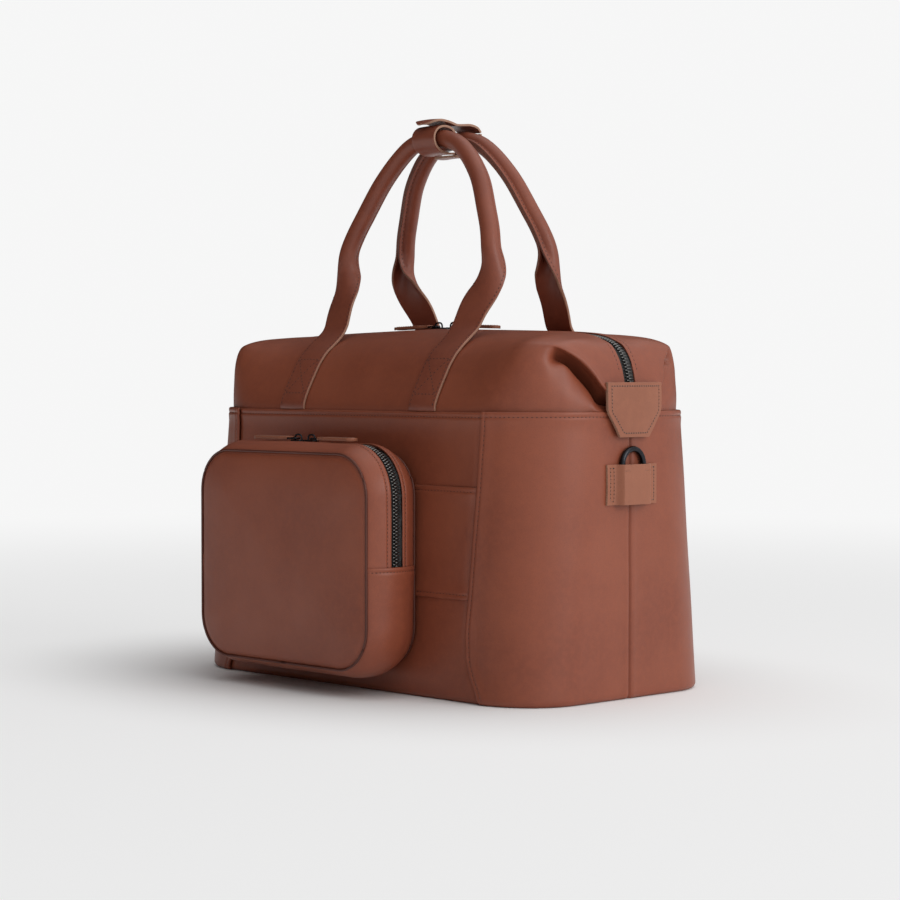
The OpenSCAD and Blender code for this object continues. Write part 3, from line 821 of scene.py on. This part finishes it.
strap_run = [p for p in roof_path_at(STRAP_X, 22) if p[1] < -69]
half_handle = [(STRAP_X, -HINGE_Y - 1.5, HINGE_Z + 5), (88, -53.5, 329), (92.5, -44.5, 350),
               (95.5, -39.3, 370), (93.5, -36.8, 387), (88.3, -33, 403), (79.5, -28.5, 421), (67, -22.5, 445),
               (55, -19, 461), (42, -16.5, 474), (29, -15.3, 482.5), (14, -15, 486.8)]
right_half = strap_run + half_handle
handle_path = Path([(-x, y, z) for x, y, z in right_half] + [(0, -15, 487.5)] + right_half[::-1])
TUBE_R = 6.6
# How far the two edges stand out where they are sewn together under the grip
KEEL = 4.6


def tube_section(w):
    """Point of the rolled leather's middle line at w from -1 to 1, across and out"""
    girth = 2 * math.pi * TUBE_R - 2.2
    total = girth + 2 * KEEL
    s = (w + 1) / 2 * total
    if s < KEEL:
        return np.array([-1.25, -(TUBE_R + KEEL - s)])
    if s > total - KEEL:
        return np.array([1.25, -(TUBE_R + KEEL - (total - s))])
    a = (s - KEEL) / girth
    gap = 1.1 / TUBE_R
    turn = -math.pi / 2 - gap - a * (2 * math.pi - 2 * gap)
    return np.array([TUBE_R * math.cos(turn), TUBE_R * math.sin(turn)])


def strap_section(w, z):
    """The same at any height: the flat strap widens, then curls until its edges meet under the grip"""
    girth = 32.4 + 6.0 * ease((z - 318) / 50) + 9.9 * ease((z - 358) / 36)
    curl = ease((z - 330) / 64)
    bend = (0.14 + 5.2 * curl) / girth
    s = w * girth / 2
    arc = np.array([math.sin(bend * s) / bend, -(1 - math.cos(bend * s)) / bend + 5.5 * curl])
    return arc + (tube_section(w) - arc) * ease((z - 362) / 34)


def handle_frame(u):
    """Point of the handle's line, its way along, its way out and its way across"""
    t = handle_path.along(u)
    n = np.array([0, -1.0, 0]) - t * -t[1]
    n /= np.linalg.norm(n)
    return handle_path.at(u), t, n, np.cross(n, t)


def handle_point(u, v):
    p, t, n, s = handle_frame(u)
    a, b = strap_section(2 * v - 1, p[2])
    return p + s * a + n * b


def handle_out(u, v):
    """Outward way of the grain side at a point of the handle"""
    e = 0.01
    t = handle_path.along(u)
    n = np.cross(handle_point(u, min(1, v + e)) - handle_point(u, max(0, v - e)), t)
    n /= np.linalg.norm(n)
    middle = np.cross(handle_point(u, 0.55) - handle_point(u, 0.45), t)
    return n if np.dot(middle, handle_frame(u)[2]) > 0 else -n


def handle_row(pairs):
    """Places of stitches on the grain side"""
    return [(handle_point(u, v) + handle_out(u, v) * 1.25, handle_out(u, v)) for u, v in pairs]


handle_us = spread(300)
handle_vs = spread(29, [0.02, 0.98, 0.045, 0.955])
ends = np.linspace(0.006, 0.994, 520)
handle_rows = [handle_row([(u, v) for u in ends]) for v in (0.066, 0.934)]
# A box with a cross in it holds each foot of the strap on the roof
boxed = [u for u in ends if u < 0.5 and 257.5 < handle_point(u, 0.5)[2] < 288.5]
low, high = boxed[0], boxed[-1]
box = [[(u, v) for v in np.linspace(0.1, 0.9, 10)] for u in (low, high)]
box += [[(low + (high - low) * t, 0.1 + 0.8 * abs(t - k)) for t in np.linspace(0, 1, 16)] for k in (0, 1)]
for pairs in box:
    handle_rows += [handle_row(pairs), handle_row([(1 - u, v) for u, v in pairs])]
for face, y_flip in (("front", False), ("back", True)):
    way = -1 if y_flip else 1
    bm = cut(handle_us, handle_vs, flipped(handle_point, y=y_flip))
    bm.normal_update()
    if min(bm.faces, key=lambda f: f.calc_center_median().z).normal.y * way > 0:
        bmesh.ops.reverse_faces(bm, faces=bm.faces)
    obj = finished(f"{face}_handle_leather", bm)
    thicken(obj, 2.5, 0.0)
    round_edges(obj, 0.45, 60)
    bend = ("bag", f"{face}_handle", (0, -0.066 * way, 0.302), (0, -0.054 * way, 0.322))
    stands_for = [f"{face}_handle", f"strap_{face}_right", f"strap_{face}_left"]
    put_on(obj, bend, (HANDLE_LEATHER, GRIP_EDGE), *stands_for)
    sew(f"{face}_handle_stitches", bend, [mirrored_line(row, y=y_flip) for row in handle_rows])


# ---- keeper round the two grips ----
KEEPER_HALF = 14.5
LOOP = [(-3, 474.6), (-9, 474.2), (-17, 475), (-24, 478.5), (-28, 484.5), (-28, 490.5), (-24.5, 495.5),
        (-18.5, 498.2), (-11, 498.2), (-5, 495.6), (-1.5, 491)]
FLAP = [(29.9, 495.6), (28.4, 497.5), (25, 500), (17, 501.6), (8, 501), (0, 500.6), (-6, 502), (-12, 503.2),
        (-20, 503.8), (-26, 502.6), (-30.5, 499.8)]
CRADLE = [(-1, 472.3), (8, 472), (18, 473.5), (25, 478), (29, 485), (30.2, 491), (30, 494.5)]


def keeper(name, line, body, node, centre, end_radius=0):
    """One stretch of the keeper along its section, as (y, z); its far end may be rounded"""
    path = Path(line)

    def place(u, v):
        left = (1 - u) * path.length
        half = KEEPER_HALF
        if left < end_radius:
            half += math.sqrt(max(0.0, end_radius ** 2 - (end_radius - left) ** 2)) - end_radius
        y, z = path.at(u)
        return np.array([(2 * v - 1) * half, y, z + 0.5 * math.sin(math.pi * v) - 0.25])
    us = near_edges(50, path.length, [0.15, 0.5, 1.2, 2.2, 3.5, 5, 7], low=False)
    panel(name, us, spread(15), place, body, (HANDLE_LEATHER, RAW_EDGE), node, thick=2.0, lift=0.0,
          outward_from=centre, edge_roll=0.5)


keeper("keeper_loop", LOOP, "front_handle", "wrap_loop", (0, -15, 487))
keeper("keeper_cradle", CRADLE, "back_handle", "wrap_cradle", (0, 12, 487))
keeper("keeper_flap", FLAP, "wrap_flap", "wrap_flap", (0, 0, 480), end_radius=13)


def snap_head(radius, high):
    """A domed snap turned about the upright axis, with a rolled rim"""
    bm = bmesh.new()
    line = [(0, 1), (0.45, 0.96), (0.75, 0.8), (0.86, 0.52), (0.95, 0.66), (1, 0.4), (1, 0), (0, 0)]
    row = [bm.verts.new((radius * a, 0, high * h)) for a, h in line]
    edges = [bm.edges.new(pair) for pair in zip(row, row[1:])]
    bmesh.ops.spin(bm, geom=row + edges, axis=(0, 0, 1), cent=(0, 0, 0), angle=2 * math.pi, steps=36,
                   use_merge=True)
    bmesh.ops.remove_doubles(bm, verts=bm.verts, dist=1e-4)
    return bm


obj = join("keeper_snap", [(snap_head(5.2, 1.3), Matrix.Translation((0, -11, 499.3)))])
put_on(obj, "front_handle", BLACK_METAL, "wrap_snap")


# ---- zips ----
def lay_teeth(name, path3, out_at, body, nodes):
    """Two rows of short rounded teeth that mesh along a line; out_at gives the way out of the surface"""
    places = []
    n = int(path3.length / 2.9)
    for i in range(n):
        for side in (-1, 1):
            u = (i + (0.25 if side < 0 else 0.75)) / n
            m = at_frame(path3.at(u), path3.along(u), out_at(u))
            places.append(m @ Matrix.Translation((0, side * 1.35, 0)))
    put_on(copies(name, block((1.2, 4.9, 1.7), 0.4, 1), places), body, TEETH_METAL, *nodes)


def zip_out(path3, centre):
    """Way out of the surface along a zip that lies in a plane across Y"""
    def out(u):
        n = np.cross(path3.along(u), [0, 1.0, 0])
        n /= np.linalg.norm(n)
        return n if np.dot(n, path3.at(u) - np.array(centre)) > 0 else -n
    return out


def tape_place(path3, out_at, half, drop):
    def place(u, v):
        w = 2 * v - 1
        across = np.cross(path3.along(u), out_at(u))
        return path3.at(u) + across * half * w - out_at(u) * (drop + 0.4 * abs(w))
    return place


ridge = [(0, 314.2), (70, 312.6), (125, 311.1), (160, 310), (186, 307.6), (204, 302.6), (214.5, 294.5),
         (220.5, 284), (224, 272), (225.5, 262)]
main_zip = Path([(-x, 0, z) for x, z in ridge[:0:-1]] + [(x, 0, z) for x, z in ridge])
main_out = zip_out(main_zip, (0, 0, 200))
lay_teeth("main_teeth", main_zip, main_out, "bag", ("zip_chain_front", "zip_chain_back"))
panel("main_tape", spread(161), spread(9), tape_place(main_zip, main_out, 11.5, 1.3), "bag", TAPE,
      "zip_tape_front", "zip_tape_back", thick=0.6, outward_from=(0, 0, 200))


def ring_path(length, width, r):
    """Outline of a long ring with rounded ends, flat in X and Y, starting at its pin"""
    pts = []
    side = width / 2 - r
    for cx, cy, start in ((length - r, side, 0), (r, side, 90), (r, -side, 180), (length - r, -side, 270)):
        for k in range(5):
            a = math.radians(start + 90 * k / 4)
            pts.append((cx + r * math.cos(a), cy + r * math.sin(a), 0))
    return pts


def slider_parts():
    """A zip slider: waisted top plate, side lips, lower plate and a bridge for the link"""
    top = block((13.0, 9.0, 1.5), 0.6, 3)
    for v in top.verts:
        v.co.y *= 1 - 0.2 * max(0.0, (v.co.x + 1) / 7.5)
    low = block((12.4, 8.6, 1.0), 0.4, 2)
    arch = [(-4.6, 0, 0.4), (-4.5, 0, 2.8), (-3.2, 0, 4.7), (0, 0, 5.3), (3.0, 0, 4.7), (4.4, 0, 2.8),
            (4.6, 0, 0.4)]
    bridge = bar_mesh(arch, 0.8, count=28, closed=False)
    return [(part, Matrix.Translation((0, 0, z))) for part, z in ((top, 1.05), (low, -4.5), (bridge, 1.0))]


def pull_leather():
    """A leather pull: narrow neck, long tongue with a rounded end, two layers sewn together"""
    length, end_radius = 46, 6.1
    bm = bmesh.new()
    bmesh.ops.create_grid(bm, x_segments=40, y_segments=8, size=0.5)
    for v in bm.verts:
        x, across = length * (v.co.x + 0.5), v.co.y * 2
        half = 3.9 + 2.2 * ease((x - 2) / 9)
        if x > 40:
            half = min(half, 0.1 + math.sqrt(max(0.0, end_radius ** 2 - (x - 39.95) ** 2)))
        v.co = Vector((x, half * across, 0.35 * (1 - across * across)))
    under = bmesh.ops.extrude_face_region(bm, geom=bm.faces[:])["geom"]
    bmesh.ops.translate(bm, vec=(0, 0, -2.6), verts=[g for g in under if isinstance(g, bmesh.types.BMVert)])
    bmesh.ops.recalc_face_normals(bm, faces=bm.faces)
    return bm


def pull_line():
    """The pull's row of stitches, out along one side, round the end and back"""
    side = [(x, 4.3 if x > 10 else 3.0 + 1.3 * ease((x - 2) / 8)) for x in np.linspace(5, 38, 12)]
    end = [(38.5 + 4.3 * math.sin(a), 4.3 * math.cos(a)) for a in np.linspace(0, math.pi, 9)]
    return side + end + [(x, -y) for x, y in reversed(side)]


def zip_pull(tag, at, slide_body, pull_body, slider_node, link_node, pull_node):
    """A slider with its link and leather pull. at puts the slider on its track, with X the way it opens"""
    slider = join(f"{tag}_slider", [(part, at @ m) for part, m in slider_parts()])
    put_on(slider, slide_body, BLACK_METAL, slider_node)
    bar = bar_mesh(ring_path(11.6, 6.6, 2.2), 0.8)
    link = join(f"{tag}_link", [(bar, at @ Matrix.Translation((1.0, 0, 2.9)))])
    put_on(link, pull_body, BLACK_METAL, link_node)
    neck = Vector((11.3, 0, 4.3))
    pull = join(f"{tag}_pull", [(pull_leather(), at @ Matrix.Translation(neck))])
    round_edges(pull, 0.5, 50)
    put_on(pull, pull_body, PALE_LEATHER, pull_node)
    up = np.array(at.to_3x3() @ Vector((0, 0, 1)))
    line = [(np.array(at @ (neck + Vector((x, y, 0.32)))), up) for x, y in pull_line()]
    sew(f"{tag}_pull_stitches", pull_body, [line], PALE_THREAD, pitch=3.0, length=2.1)


def track(x, y, z, tilt=0.0, back=False):
    """Where a slider sits: facing right and tilted with its zip, or turned to face left"""
    m = Matrix.Translation((x, y, z))
    if back:
        m = m @ Matrix.Rotation(math.pi, 4, "Z")
    return m @ Matrix.Rotation(tilt, 4, "Y")


ZIP_TILT = math.atan(5.5 / 184)
for end, back in (("right", False), ("left", True)):
    at = track(-10 if back else 10, 0, 316 - 10 * math.tan(ZIP_TILT), ZIP_TILT, back)
    zip_pull(f"main_{end}", at, f"slider_{end}", f"pull_{end}", f"zip_slider_{end}", f"pull_link_{end}",
             f"zip_pull_{end}")


# ---- end tabs and ring holders ----
TAB_HEIGHTS = [222.2, 224.5, 228, 240.5, 243, 247, 258, 268.5]
TAB_HALVES = [17.8, 19.6, 21.8, 30.8, 32.4, 33.4, 33.6, 33.5]


def tab_point(u, v):
    z = TAB_LOW + TAB_HEIGHT * v
    y = (2 * u - 1) * float(np.interp(z, TAB_HEIGHTS, TAB_HALVES))
    curve = -2.2 * (y / 33.0) ** 2 + 0.9 * math.sin(math.pi * v)
    return np.array([231.6 + curve + 1.2 * v, y, z])


def holder_point(u, v, notch=5.4):
    """The ring's holder: flat sewn flanges and a raised tunnel, notched where the ring swings out"""
    y = (2 * u - 1) * HOLDER_HALF
    a = abs(y)
    z = HOLDER_LOW + (HOLDER_HEIGHT - notch * ease((4.1 - abs(a - RING_ARM_Y)) / 0.5)) * v
    out = 227.6 + 6.6 * (1 - ease((a - 15.5) / 6.5)) + 0.25 * math.sin(math.pi * v)
    return np.array([out, y * (1 - 0.012 * math.sin(math.pi * v)), z])


def lip_point(side):
    """The bit of the holder's edge in front of one arm of the ring: it gives way as the ring swings out"""
    def place(u, v):
        y = side * RING_ARM_Y + 3.95 * (2 * u - 1)
        return holder_point(0.5 + y / (2 * HOLDER_HALF), (28.7 + 5.3 * v) / HOLDER_HEIGHT, 0) - [0.06, 0, 0]
    return place


def end_row(place, pairs):
    return sample(place, pairs, toward=(1, 0, 0))


EDGE_ROWS = [0.3, 0.8, 1.6]
tab_us, tab_vs = near_edges(30, 66, EDGE_ROWS), near_edges(26, 46, EDGE_ROWS)
holder_vs, lip_vs = near_edges(14, 34, EDGE_ROWS), near_edges(5, 5.3, EDGE_ROWS)
holder_us = spread(61, [0.5 + s * (RING_ARM_Y + t * d) / (2 * HOLDER_HALF)
                        for s in (-1, 1) for t in (-1, 1) for d in (3.6, 3.85, 4.1)])
slant = [(0.075, 0.40), (0.095, 0.3), (0.12, 0.16), (0.155, 0.085)]
rim = [(0.062, v) for v in np.linspace(0.93, 0.46, 14)] + slant
rim += [(u, 0.075) for u in np.linspace(0.2, 0.8, 12)] + [(1 - u, v) for u, v in slant[::-1]]
rim += [(0.938, v) for v in np.linspace(0.46, 0.93, 14)]
end_rows = [end_row(tab_point, rim), end_row(tab_point, [(u, 0.93) for u in np.linspace(0.938, 0.062, 20)])]
for flange in ((0.055, 0.125), (0.875, 0.945)):
    end_rows += [end_row(holder_point, [(u, v) for v in np.linspace(0.09, 0.91, 14)]) for u in flange]
    end_rows += [end_row(holder_point, [(u, v) for u in np.linspace(*flange, 4)]) for v in (0.09, 0.91)]
for end, flip in (("right", False), ("left", True)):
    panel(f"end_tab_{end}_leather", tab_us, tab_vs, flipped(tab_point, x=flip), "bag", PALE, f"end_tab_{end}",
          thick=3.2, edge_roll=0.6, outward_from=(0, 0, 240))
    rows = [mirrored_line(row, x=flip) for row in end_rows]
    sew(f"end_stitches_{end}", "bag", rows, PALE_THREAD, pitch=2.9, length=2.1)
    panel(f"ring_holder_{end}_leather", holder_us, holder_vs, flipped(holder_point, x=flip), "bag", PALE,
          f"ring_holder_{end}", thick=2.2, edge_roll=0.5, outward_from=(0, 0, 180))
    for side, place in (("front", lip_point(-1)), ("back", lip_point(1))):
        panel(f"ring_lip_{end}_{side}", spread(9), lip_vs, flipped(place, x=flip), f"ring_{end}", PALE,
              thick=2.1, edge_roll=0.5, outward_from=(0, 0, 180))


# ---- pouch ----
OUTLINE = 2 * (POUCH_W + POUCH_H - 4 * POUCH_R) + 2 * math.pi * POUCH_R


def round_rect(s, grow=0.0):
    """Point at share s round the pouch's outline from the middle of its foot, with its outward way"""
    hw, hh, r = POUCH_W / 2, POUCH_H / 2, POUCH_R
    # The straight runs, each with its start, its way and its length; a corner follows each
    runs = [((0, -hh), (1, 0), hw - r), ((hw, r - hh), (0, 1), 2 * (hh - r)),
            ((hw - r, hh), (-1, 0), 2 * (hw - r)), ((-hw, hh - r), (0, -1), 2 * (hh - r)),
            ((r - hw, -hh), (1, 0), hw - r)]
    d = (s % 1.0) * OUTLINE
    for start, way, length in runs:
        way = np.array(way, dtype=float)
        out = np.array([way[1], -way[0]])
        p = np.array(start) + way * min(d, length)
        d -= length
        if 0 < d <= math.pi / 2 * r:
            middle = p - out * r
            out = out * math.cos(d / r) + way * math.sin(d / r)
            p = middle + out * r
        if d <= math.pi / 2 * r:
            break
        d -= math.pi / 2 * r
    return np.array([POUCH_X, POUCH_LOW + hh]) + p + out * grow, out


def share_at_height(z, right=True):
    """Share round the outline at which one side passes that height"""
    d = (POUCH_W / 2 - POUCH_R) + math.pi / 2 * POUCH_R + (z - POUCH_LOW - POUCH_R)
    return d / OUTLINE if right else 1 - d / OUTLINE


def depth_at(w):
    """Y at share w of the pouch's depth, from its back to its front"""
    return POUCH_BACK - 1.0 - w * (POUCH_D - 2.0)


def puff(w):
    """How far the side walls stand out across their depth, rolling in to both seams"""
    body = POUCH_BULGE * (1 - abs(2 * w - 1) ** 2.6)
    return body - 1.8 * math.exp(-(w / 0.02) ** 2) - 1.8 * math.exp(-((1 - w) / 0.02) ** 2)


def gusset_at(s, w, proud=0.0):
    """Point of the pouch's side at share s round it and w of its depth, standing proud of the bare shape"""
    xz, out = round_rect(s)
    n = ripple(xz[0], w * 57, xz[1], 38, 0.7)
    x, z = xz + out * (puff(w) + proud + n * math.sin(math.pi * w))
    return np.array([x, depth_at(w), z])


RIGHT_SPLIT = share_at_height(POUCH_SPLIT)
LEFT_SPLIT = share_at_height(POUCH_SPLIT, right=False)
GUSSET_SHARE = RIGHT_SPLIT + 1 - LEFT_SPLIT
GUSSET_RUN = GUSSET_SHARE * OUTLINE
# Share of the pouch's depth from a seam to the zip
STRIP = 0.5 - 6.3 / (POUCH_D - 2)
POUCH_CENTRE = (POUCH_X, -150, 116)


def strip_place(back):
    """One of the two strips beside the pouch's zip; v runs from its seam to the zip"""
    def place(u, v):
        s = RIGHT_SPLIT - 0.006 + (LEFT_SPLIT - RIGHT_SPLIT + 0.012) * u
        w = STRIP * v
        return gusset_at(s, w if back else 1 - w, short_hem((1 - v) * STRIP * (POUCH_D - 2), 0.6, 4.0))
    return place


def lower_gusset(u, v):
    """The pouch's foot and lower sides: one strip whose two ends are folded over the zipped strips"""
    e = min(u, 1 - u) * GUSSET_RUN
    lap = 1.3 * (1 - ease((e - 12) / 30)) * math.sin(math.pi * v) ** 0.4
    return gusset_at(LEFT_SPLIT - 1 + GUSSET_SHARE * u, v, lap + short_hem(e, 1.0, 4.0))


strip_vs = spread(12, [0.012, 0.03, 0.06] + from_end(HEM_ROWS, 21.0))
pouch_rows = []
for face, back in (("back", True), ("front", False)):
    place = strip_place(back)
    panel(f"pouch_strip_{face}", spread(140), strip_vs, place, "pouch", BROWN, f"pouch_zip_strip_{face}",
          thick=2.0, outward_from=POUCH_CENTRE)
    row = [(u, 1 - 4.0 / 21.2) for u in np.linspace(0.0, 1.0, 200)]
    pouch_rows.append(sample(place, row, centre=POUCH_CENTRE))
gusset_vs = spread(25, [0.008, 0.02, 0.98, 0.992])
panel("pouch_lower_gusset", near_edges(110, GUSSET_RUN, HEM_ROWS), gusset_vs, lower_gusset, "pouch", BROWN,
      "pouch_gusset", thick=2.0, outward_from=POUCH_CENTRE)
for u in (4.0 / GUSSET_RUN, 1 - 4.0 / GUSSET_RUN):
    row = [(u, v) for v in np.linspace(0.05, 0.95, 24)]
    pouch_rows.append(sample(lower_gusset, row, centre=POUCH_CENTRE))
sew("pouch_stitches", "pouch", pouch_rows, pitch=3.2)


def inset(x, z):
    """Distance of a point of the pouch's panel from its outline"""
    qx = abs(x - POUCH_X) - (POUCH_W / 2 - POUCH_R)
    qz = abs(z - POUCH_LOW - POUCH_H / 2) - (POUCH_H / 2 - POUCH_R)
    return POUCH_R - math.hypot(max(qx, 0), max(qz, 0)) - min(max(qx, qz), 0)


def panel_place(y0, crown, way):
    """The pouch's front or back: rolled in at its seam, standing out by the crown in the middle"""
    def place(u, v):
        hh = POUCH_H / 2
        z = -hh * math.cos(math.pi * v)
        over = abs(z) - (hh - POUCH_R)
        half = POUCH_W / 2 - POUCH_R + math.sqrt(max(0.0, POUCH_R ** 2 - max(0.0, over) ** 2))
        x = POUCH_X - half * math.cos(math.pi * u)
        z += POUCH_LOW + hh
        d = inset(x, z)
        rise = crown * (1 - math.exp(-max(0, d) / 26)) + 3.6 * (1 - math.exp(-max(0, d) / 1.5)) - 3.8
        rise += ripple(x, y0, z, 60, 0.8) * min(1, d / 30)
        return np.array([x, y0 + way * rise, z])
    return place


POUCH_FRONT = POUCH_BACK - POUCH_D
panel("pouch_front_panel", spread(110), spread(100), panel_place(POUCH_FRONT + 0.2, 4.6, -1), "pouch", BROWN,
      "pouch_front", thick=2.0, outward_from=POUCH_CENTRE)
panel("pouch_back_panel", spread(60), spread(50), panel_place(POUCH_BACK + 0.4, 0.4, 1), "pouch", BROWN,
      "pouch_back", thick=2.0, outward_from=POUCH_CENTRE)

cords = []
for y in (POUCH_FRONT + 1.4, POUCH_BACK - 1.2):
    line = [(x, y, z) for x, z in (round_rect(s, 0.6)[0] for s in np.linspace(0, 1, 121)[:-1])]
    cords.append((bar_mesh(line, 1.15, 8, 240), Matrix.Identity(4)))
put_on(join("pouch_piping_cord", cords), "pouch", PIPING_LEATHER, "pouch_piping")

zip_shares = np.linspace(RIGHT_SPLIT - 0.004, LEFT_SPLIT + 0.004, 90)
pouch_zip = Path([gusset_at(s, 0.5, -1.5) for s in zip_shares], fine=4)
pouch_out = zip_out(pouch_zip, POUCH_CENTRE)
lay_teeth("pouch_teeth", pouch_zip, pouch_out, "pouch", ("pouch_chain",))
panel("pouch_zip_tape", spread(150), spread(7), tape_place(pouch_zip, pouch_out, 8.2, 1.2), "pouch", TAPE,
      "pouch_tape", thick=0.5, outward_from=POUCH_CENTRE)
POUCH_TOP = POUCH_LOW + POUCH_H + POUCH_BULGE
for end, back in (("right", False), ("left", True)):
    at = track(POUCH_X + (-9 if back else 9), POUCH_BACK - POUCH_D / 2, POUCH_TOP, back=back)
    zip_pull(f"pouch_{end}", at, f"pouch_slider_{end}", f"pouch_pull_{end}", f"pouch_slider_{end}",
             f"pouch_link_{end}", f"pouch_pull_{end}")


# ---- sleeve on the back ----
def sleeve_point(u, v):
    x = (2 * u - 1) * SLEEVE_HALF
    z = SLEEVE_LOW + (SLEEVE_HIGH - SLEEVE_LOW) * v
    base = half_depth(z) + swell(abs(x), z)
    out = 1.2 + 11.0 * ease((SLEEVE_HALF - abs(x) - 11) / 15)
    out += hem(min(z - SLEEVE_LOW, SLEEVE_HIGH - z), 0.9, 4.2) * 0.8
    sag = -1.5 * math.sin(math.pi * u) * (1 - abs(2 * v - 1)) ** 0.5
    return np.array([x, base + out + sag, z])


sleeve_us, sleeve_vs = spread(60, [0.004, 0.012, 0.988, 0.996]), near_edges(22, 130, HEM_ROWS)
panel("sleeve_leather", sleeve_us, sleeve_vs, sleeve_point, "bag", (BROWN_LEATHER, RAW_EDGE), "back_sleeve",
      thick=2.2, edge_roll=0.5, outward_from=(0, 0, 135))
sleeve_rows = [[(u, v) for v in np.linspace(0.03, 0.97, 50)] for u in (0.02, 0.045, 0.955, 0.98)]
sleeve_rows += [[(u, v) for u in np.linspace(0.02, 0.98, 80)] for v in (4.2 / 130, 1 - 4.2 / 130)]
sew("sleeve_stitches", "bag", [sample(sleeve_point, row, toward=(0, 1, 0)) for row in sleeve_rows])


# ---- solids that keep their shape ----
def finish_solids(material, *names):
    for name in names:
        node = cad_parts[name]
        node.data.materials.clear()
        node.data.materials.append(material)


finish_solids(BLACK_METAL, "d_ring_right", "d_ring_left", "band_snaps", "pouch_snaps")
finish_solids(LINING_CLOTH, "lining", "pouch_lining")
finish_solids(BOARD, "base_board", "stiffener_front", "stiffener_back")
finish_solids(CORD_COTTON, "front_handle_core", "back_handle_core")


# ---- floor, light and camera ----
def grey(level):
    return (level, level, level, 1.0)


BACKDROP = grey(0.925)


def floor():
    """A pale floor with the bag's shadow near it, going over into the backdrop further off"""
    bm = bmesh.new()
    bmesh.ops.create_circle(bm, cap_ends=True, radius=9.0, segments=96)
    obj = finished("floor", bm)
    p = Paint("pale_floor")
    spot = p.add("ShaderNodeSeparateXYZ", Vector=p.place)
    x, y = Value(p, spot.outputs[0]), Value(p, spot.outputs[1])
    near = (x * x * 18 + (y + 0.02) * (y + 0.02) * 34) ** 0.5
    far = p.ramp(near, 0.85, 2.2) * 0.55 + p.ramp((x * x + y * y) ** 0.5, 0.5, 2.6) * 0.45
    p.feed(p.shader.inputs["Base Color"], p.blend(p.noise(3, 2) * 0.02, grey(0.93), grey(0.9)))
    p.constants(Roughness=0.75, Specular_IOR_Level=0.1)
    glow = p.add("ShaderNodeEmission", Color=BACKDROP, Strength=1.0)
    mix = p.add("ShaderNodeMixShader")
    p.feed(mix.inputs[0], far)
    p.tree.links.new(p.shader.outputs[0], mix.inputs[1])
    p.tree.links.new(glow.outputs[0], mix.inputs[2])
    p.tree.links.new(mix.outputs[0], p.tree.nodes["Material Output"].inputs[0])
    obj.data.materials.append(p.material)


floor()

world = bpy.data.worlds.new("studio")
bpy.context.scene.world = world
world.use_nodes = True
sky = world.node_tree
room = sky.nodes["Background"]
room.inputs["Strength"].default_value = 1.0
way = sky.nodes.new("ShaderNodeTexCoord").outputs["Generated"]
facing = sky.nodes.new("ShaderNodeVectorMath")
facing.operation = "DOT_PRODUCT"
facing.inputs[1].default_value = (0.72, 0.2, 0.66)
sky.links.new(way, facing.inputs[0])
rise = sky.nodes.new("ShaderNodeMapRange")
rise.interpolation_type = "SMOOTHSTEP"
sky.links.new(facing.outputs["Value"], rise.inputs["Value"])
for key, number in (("From Min", -0.22), ("From Max", 0.92), ("To Min", 0.02), ("To Max", 0.87)):
    rise.inputs[key].default_value = number
tint = sky.nodes.new("ShaderNodeCombineColor")
for i in range(3):
    sky.links.new(rise.outputs[0], tint.inputs[i])
sky.links.new(tint.outputs[0], room.inputs["Color"])
backdrop = sky.nodes.new("ShaderNodeBackground")
backdrop.inputs["Color"].default_value = BACKDROP
pick = sky.nodes.new("ShaderNodeMixShader")
sky.links.new(sky.nodes.new("ShaderNodeLightPath").outputs["Is Camera Ray"], pick.inputs[0])
sky.links.new(room.outputs[0], pick.inputs[1])
sky.links.new(backdrop.outputs[0], pick.inputs[2])
sky.links.new(pick.outputs[0], sky.nodes["World Output"].inputs[0])
bpy.context.scene.view_settings.view_transform = "Standard"


def lamp(name, at, size, power):
    """A square soft lamp aimed at the middle of the bag"""
    light = bpy.data.lights.new(name, "AREA")
    light.shape = "RECTANGLE"
    light.size = light.size_y = size
    light.energy = power
    obj = bpy.data.objects.new(name, light)
    bpy.context.scene.collection.objects.link(obj)
    obj.location = at
    obj.rotation_euler = (Vector((0, 0, 0.2)) - Vector(at)).to_track_quat("-Z", "Y").to_euler()


lamp("key", (2.5, 0.35, 1.15), 1.4, 19)
lamp("top", (0.3, 0.6, 2.4), 2.2, 10)

view = bpy.data.cameras.new("view")
view.lens = 96.0
view.sensor_width = 36.0
eye = bpy.data.objects.new("view", view)
bpy.context.scene.collection.objects.link(eye)
azimuth, elevation, reach = math.radians(46.33), math.radians(1.87), 2.187
level = math.cos(elevation)
back = Vector((math.sin(azimuth) * level, -math.cos(azimuth) * level, math.sin(elevation)))
right = Vector((math.cos(azimuth), math.sin(azimuth), 0))
eye.matrix_world = Matrix((right, back.cross(right), back)).transposed().to_4x4()
eye.location = Vector((0.0048, 0.0, 0.206)) + back * reach
view.clip_end = 60
bpy.context.scene.camera = eye
